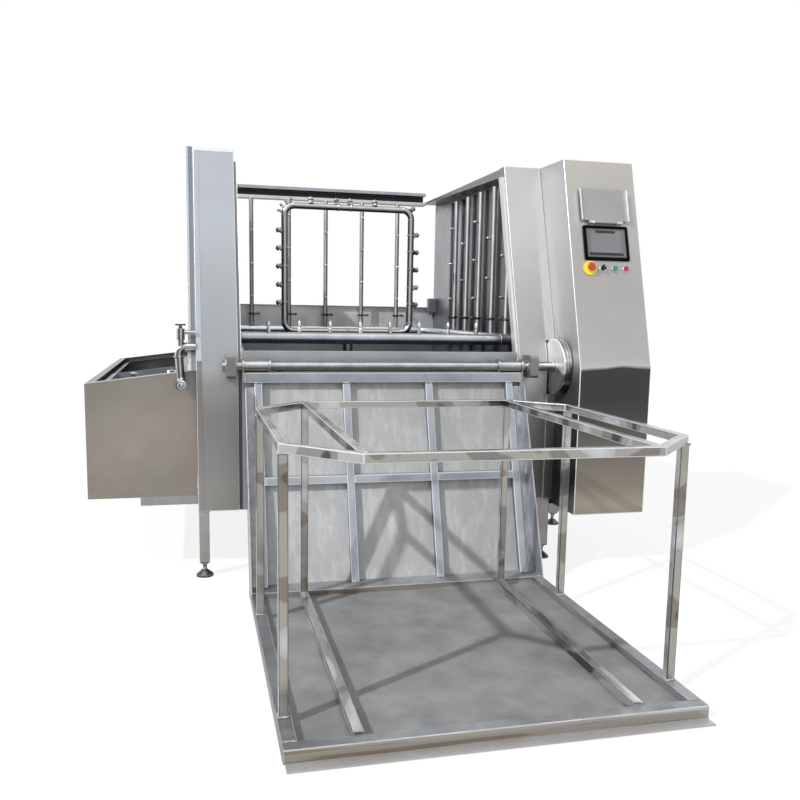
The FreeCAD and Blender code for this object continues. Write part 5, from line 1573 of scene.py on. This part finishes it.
class WASHER_OT_cradle(PieceOperator):
    """Cradle: its leaning back with frame and sheet, side flanges, platform, deck and lip"""
    bl_idname = "washer.cradle"
    bl_label = "Cradle"

    def execute(self, context):
        t = tube_settings()
        rounded_copy("back_tubes", "cradle_back_frame", t.corner, [finish(upright_steel), finish(painted_highlight_steel)],
                     "cradle", 1)
        rounded_copy("back_sheet_skin", "cradle_back_sheet", 0.0006, [finish(panel_steel)], "cradle")
        rounded_copy("flange_skin", "cradle_side_flanges", 0.0010, [finish(flange_steel), finish(painted_highlight_steel)],
                     "cradle", 1)
        rounded_copy("platform_tubes", "platform_frame", t.corner * 0.8,
                     [finish(rim_steel), finish(guide_steel), finish(rim_top_steel), finish(rim_side_steel),
                      finish(rim_edge_steel), finish(rim_outer_steel)], "cradle", 4,
                     self.platform_face)
        rounded_copy("deck_skin", "platform_sheet", 0.0004, [finish(deck_steel)], "cradle")
        rounded_copy("lip_skin", "front_lip", 0.0006, [finish(lip_steel)], "cradle")
        self.welds()
        return {"FINISHED"}

    def platform_face(self, face):
        """Guides, the tops and fronts of the cross tubes, and the tubes that run back."""
        at = face.calc_center_median()
        low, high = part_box("platform_frame")
        guide = abs(at.x - (low.x + high.x) / 2) < 0.42 and low.y + 0.06 < at.y < high.y - 0.10
        if guide:
            return 1
        if face.normal.z > 0.7:
            return 2
        if face.normal.x < -0.7 and at.x < low.x + 0.01:
            return 5
        return 0 if abs(face.normal.y) > 0.7 else 3

    def welds(self):
        """Beads where the platform's tubes meet, where the uprights stand and across the guides' ends."""
        t = tube_settings()
        whole = bmesh.new()
        number = 0
        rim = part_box("platform_frame")
        for part in solids("platform_frame"):
            low, high = span_of(part)
            part.free()
            size = high - low
            if size.y > 1.0:
                for y in (low.y, high.y):
                    number += 1
                    join_into(whole, bead([(low.x + 0.003, y, high.z), (high.x - 0.003, y, high.z)], t.bead, False,
                                          number))
        for part in solids("cradle_back_frame"):
            low, high = span_of(part)
            part.free()
            size = high - low
            if size.z > 0.5:
                foot = sorted({round(v, 4) for v in (low.x, high.x)})
                y = low.y
                number += 1
                join_into(whole, bead([(foot[0], y, low.z + 0.001), (foot[1], y, low.z + 0.001)], t.bead, False, number))
                top_y = high.y - 0.031
                join_into(whole, bead([(foot[0], top_y, high.z - 0.001), (foot[1], top_y, high.z - 0.001)], t.bead,
                                      False, number + 50))
        piece_from("cradle_welds", whole, [finish(weld_steel)], "cradle")


# Uprights: grey blue painted reflection on their fronts and painted shade on both sides
def upright_steel():
    return steel("upright_steel", [(-1.0, grey(0.10)), (0.0, (0.34, 0.37, 0.41)), (0.26, (0.42, 0.46, 0.51)),
                                   (1.0, grey(0.36, -0.03))], None, grain=(1.0, 1.0, 8.0), cloud=0.16,
                 cloud_scale=7.0, brush=0.10, roughness=0.32, metal=0.5, across=[(-1.0, grey(0.55)),
                                                                                (0.0, grey(1.0)),
                                                                                (1.0, grey(0.45))])


def guide_steel():
    return polished_steel("guide_steel", (0.44, 0.44, 0.45), 0.09, 8.0, (2.2, 0.45, 2.2), 1.35, 0.03, 0.6)


def flange_steel():
    return steel("flange_steel", [(-1.0, grey(0.10)), (0.0, (0.34, 0.36, 0.39)), (0.3, (0.40, 0.41, 0.43)),
                                  (1.0, grey(0.4))], None, grain=(1.0, 1.0, 0.12), brush=0.35, cloud=0.18,
                 cloud_scale=5.0)


def lip_steel():
    return steel("lip_steel", [(-1.0, grey(0.2)), (0.0, grey(0.44)), (1.0, grey(0.54))], None, cloud=0.10,
                 cloud_scale=4.0, roughness=0.4)


class WASHER_OT_cage(PieceOperator):
    """The eight-sided rail, its inner rails and six posts, with their welds"""
    bl_idname = "washer.cage"
    bl_label = "Cage"

    def execute(self, context):
        t = tube_settings()
        polished = finish(cage_steel)
        rounded_copy("cage_rails", "cage_ring", t.corner * 0.8, [polished, finish(painted_highlight_steel)], "cradle",
                     1)
        rounded_copy("cage_post_tubes", "cage_posts", t.corner * 0.8, [finish(post_steel), finish(post_edge_steel)],
                     "cradle", 1)
        whole = bmesh.new()
        for number, part in enumerate(solids("cage_posts")):
            low, high = span_of(part)
            part.free()
            for z in (low.z + 0.001, high.z - 0.001):
                loop = [(low.x, low.y, z), (high.x, low.y, z), (high.x, high.y, z), (low.x, high.y, z)]
                join_into(whole, bead(loop, t.bead, True, number))
        piece_from("cage_welds", whole, [finish(weld_steel)], "cradle")
        return {"FINISHED"}


# Posts: painted reflections, with blue painted light on the sides that face left
def post_steel():
    return polished_steel("post_steel", (0.40, 0.38, 0.345), 0.20, 4.6, (1.0, 1.0, 1.6), 1.15, 0.05, 0.75,
                          (1.45, 1.54, 1.66))


# Cage rails: painted reflections, with blue painted light on the sides that face left
def cage_steel():
    return polished_steel("cage_steel", (0.40, 0.385, 0.355), 0.12, 7.5, top=1.2, left=(1.22, 1.30, 1.40))


# Post edges: darker painted reflections
def post_edge_steel():
    return polished_steel("post_edge_steel", (0.16, 0.155, 0.15), 0.4, 6.0, top=1.3)


# Stage

class WASHER_OT_stage(PieceOperator):
    """Pale floor, plain sky, one sun lamp and the camera"""
    bl_idname = "washer.stage"
    bl_label = "Stage"

    def execute(self, context):
        s = stage_settings()
        self.floor(s)
        self.sky(context.scene, s)
        self.key_lamp(s)
        self.camera(context.scene, s)
        context.scene.view_settings.view_transform = "Standard"
        return {"FINISHED"}

    def floor(self, s):
        part = bmesh.new()
        rows = []
        for x in (-14.0, 14.0):
            rows.append([part.verts.new((x, y, 0.0)) for y in (-12.0, 16.0)])
        part.faces.new((rows[0][0], rows[1][0], rows[1][1], rows[0][1]))
        mesh = bpy.data.meshes.new("floor")
        part.to_mesh(mesh)
        part.free()
        made, tree, shader = start_material("floor_paint")
        place = add_node(tree, "ShaderNodeTexCoord").outputs
        slow = stretched_noise(tree, place["Object"], (1.0, 1.0, 1.0), 0.8, 2.0, 0.5)
        tree.links.new(ramp(tree, slow, [(0.3, tuple(c * 0.995 for c in s.floor)), (0.7, tuple(s.floor))]),
                       shader.inputs["Base Color"])
        shader.inputs["Roughness"].default_value = 0.9
        shader.inputs["Specular IOR Level"].default_value = 0.0
        path = add_node(tree, "ShaderNodeLightPath").outputs
        seen = add_node(tree, "ShaderNodeMath", {0: path["Is Glossy Ray"], 1: path["Is Transmission Ray"]},
                        operation="MAXIMUM").outputs["Value"]
        plain = add_node(tree, "ShaderNodeEmission", {"Color": (1.0, 1.0, 1.0, 1.0), "Strength": 0.92})
        bright = add_node(tree, "ShaderNodeEmission", {"Color": (1.0, 1.0, 1.0, 1.0), "Strength": 1.08})
        faint = add_node(tree, "ShaderNodeMixShader", {0: s.shadow, 1: bright.outputs[0], 2: shader.outputs["BSDF"]})
        matt = add_node(tree, "ShaderNodeMixShader", {0: path["Is Camera Ray"], 1: shader.outputs["BSDF"],
                                                      2: faint.outputs[0]})
        mix = add_node(tree, "ShaderNodeMixShader", {0: seen, 1: matt.outputs[0], 2: plain.outputs[0]})
        tree.links.new(mix.outputs[0], tree.nodes["Material Output"].inputs["Surface"])
        mesh.materials.append(made)
        ground = bpy.data.objects.new("floor", mesh)
        bpy.context.scene.collection.objects.link(ground)

    def sky(self, scene, s):
        world = bpy.data.worlds.new("plain_sky")
        world.use_nodes = True
        tree = world.node_tree
        back = tree.nodes["Background"]
        path = add_node(tree, "ShaderNodeLightPath").outputs
        one = add_node(tree, "ShaderNodeMath", {0: path["Is Camera Ray"], 1: path["Is Glossy Ray"]},
                       operation="MAXIMUM").outputs["Value"]
        seen = add_node(tree, "ShaderNodeMath", {0: one, 1: path["Is Transmission Ray"]},
                        operation="MAXIMUM").outputs["Value"]
        back.inputs["Color"].default_value = (1.0, 1.0, 1.0, 1.0)
        tree.links.new(mapped(tree, seen, 0.0, 1.0, s.sky, 1.0), back.inputs["Strength"])
        scene.world = world

    def key_lamp(self, s):
        light = bpy.data.lights.new("key_lamp", "SUN")
        light.energy = s.key
        light.angle = s.key_spread
        holder = bpy.data.objects.new("key_lamp", light)
        holder.location = (-3.0, -3.4, 3.6)
        holder.rotation_euler = Vector(s.key_way).to_track_quat("-Z", "Y").to_euler()
        bpy.context.scene.collection.objects.link(holder)

    def camera(self, scene, s):
        view = bpy.data.cameras.new("camera")
        view.lens = s.lens
        view.sensor_width = 36.0
        view.shift_x = 0.0011
        view.shift_y = 0.0329
        yaw, pitch, roll = s.camera_yaw, s.camera_pitch, s.camera_roll
        ahead = Vector((math.sin(yaw) * math.cos(pitch), math.cos(yaw) * math.cos(pitch), -math.sin(pitch)))
        right = Vector((math.cos(yaw), -math.sin(yaw), 0.0))
        up = right.cross(ahead)
        turned_right = right * math.cos(roll) + up * math.sin(roll)
        turned_up = up * math.cos(roll) - right * math.sin(roll)
        holder = bpy.data.objects.new("camera", view)
        turn = Matrix((turned_right, turned_up, -ahead)).transposed().to_4x4()
        holder.matrix_world = Matrix.Translation(Vector(s.camera_place)) @ turn
        scene.collection.objects.link(holder)
        scene.camera = holder


STEPS = (WASHER_OT_stage, WASHER_OT_base, WASHER_OT_walls, WASHER_OT_covers, WASHER_OT_cabinet, WASHER_OT_screen,
         WASHER_OT_tank, WASHER_OT_outlet, WASHER_OT_pipes, WASHER_OT_nozzles, WASHER_OT_clamps, WASHER_OT_shaft,
         WASHER_OT_drive, WASHER_OT_cradle, WASHER_OT_cage)


class WASHER_PT_panel(Panel):
    """Lists the pieces and their settings"""
    bl_label = "Bin Washer"
    bl_idname = "WASHER_PT_panel"
    bl_space_type = "VIEW_3D"
    bl_region_type = "UI"
    bl_category = "Bin Washer"

    def draw(self, context):
        layout = self.layout
        for step in STEPS:
            layout.operator(step.bl_idname, text=step.bl_label)
        for name in ("washer_stage", "washer_sheet", "washer_tube", "washer_plastic"):
            group = getattr(context.scene, name)
            box = layout.box()
            for key in group.__annotations__:
                box.prop(group, key)


SETTINGS = (("washer_stage", StageSettings), ("washer_sheet", SheetSettings), ("washer_tube", TubeSettings),
            ("washer_plastic", PlasticSettings))


def register():
    for name, group in SETTINGS:
        bpy.utils.register_class(group)
        setattr(bpy.types.Scene, name, PointerProperty(type=group))
    for step in STEPS:
        bpy.utils.register_class(step)
    bpy.utils.register_class(WASHER_PT_panel)


def unregister():
    bpy.utils.unregister_class(WASHER_PT_panel)
    for step in reversed(STEPS):
        bpy.utils.unregister_class(step)
    for name, group in reversed(SETTINGS):
        delattr(bpy.types.Scene, name)
        bpy.utils.unregister_class(group)


def main():
    register()
    for step in STEPS:
        family, call = step.bl_idname.split(".")
        getattr(getattr(bpy.ops, family), call)()


if __name__ == "__main__":
    main()
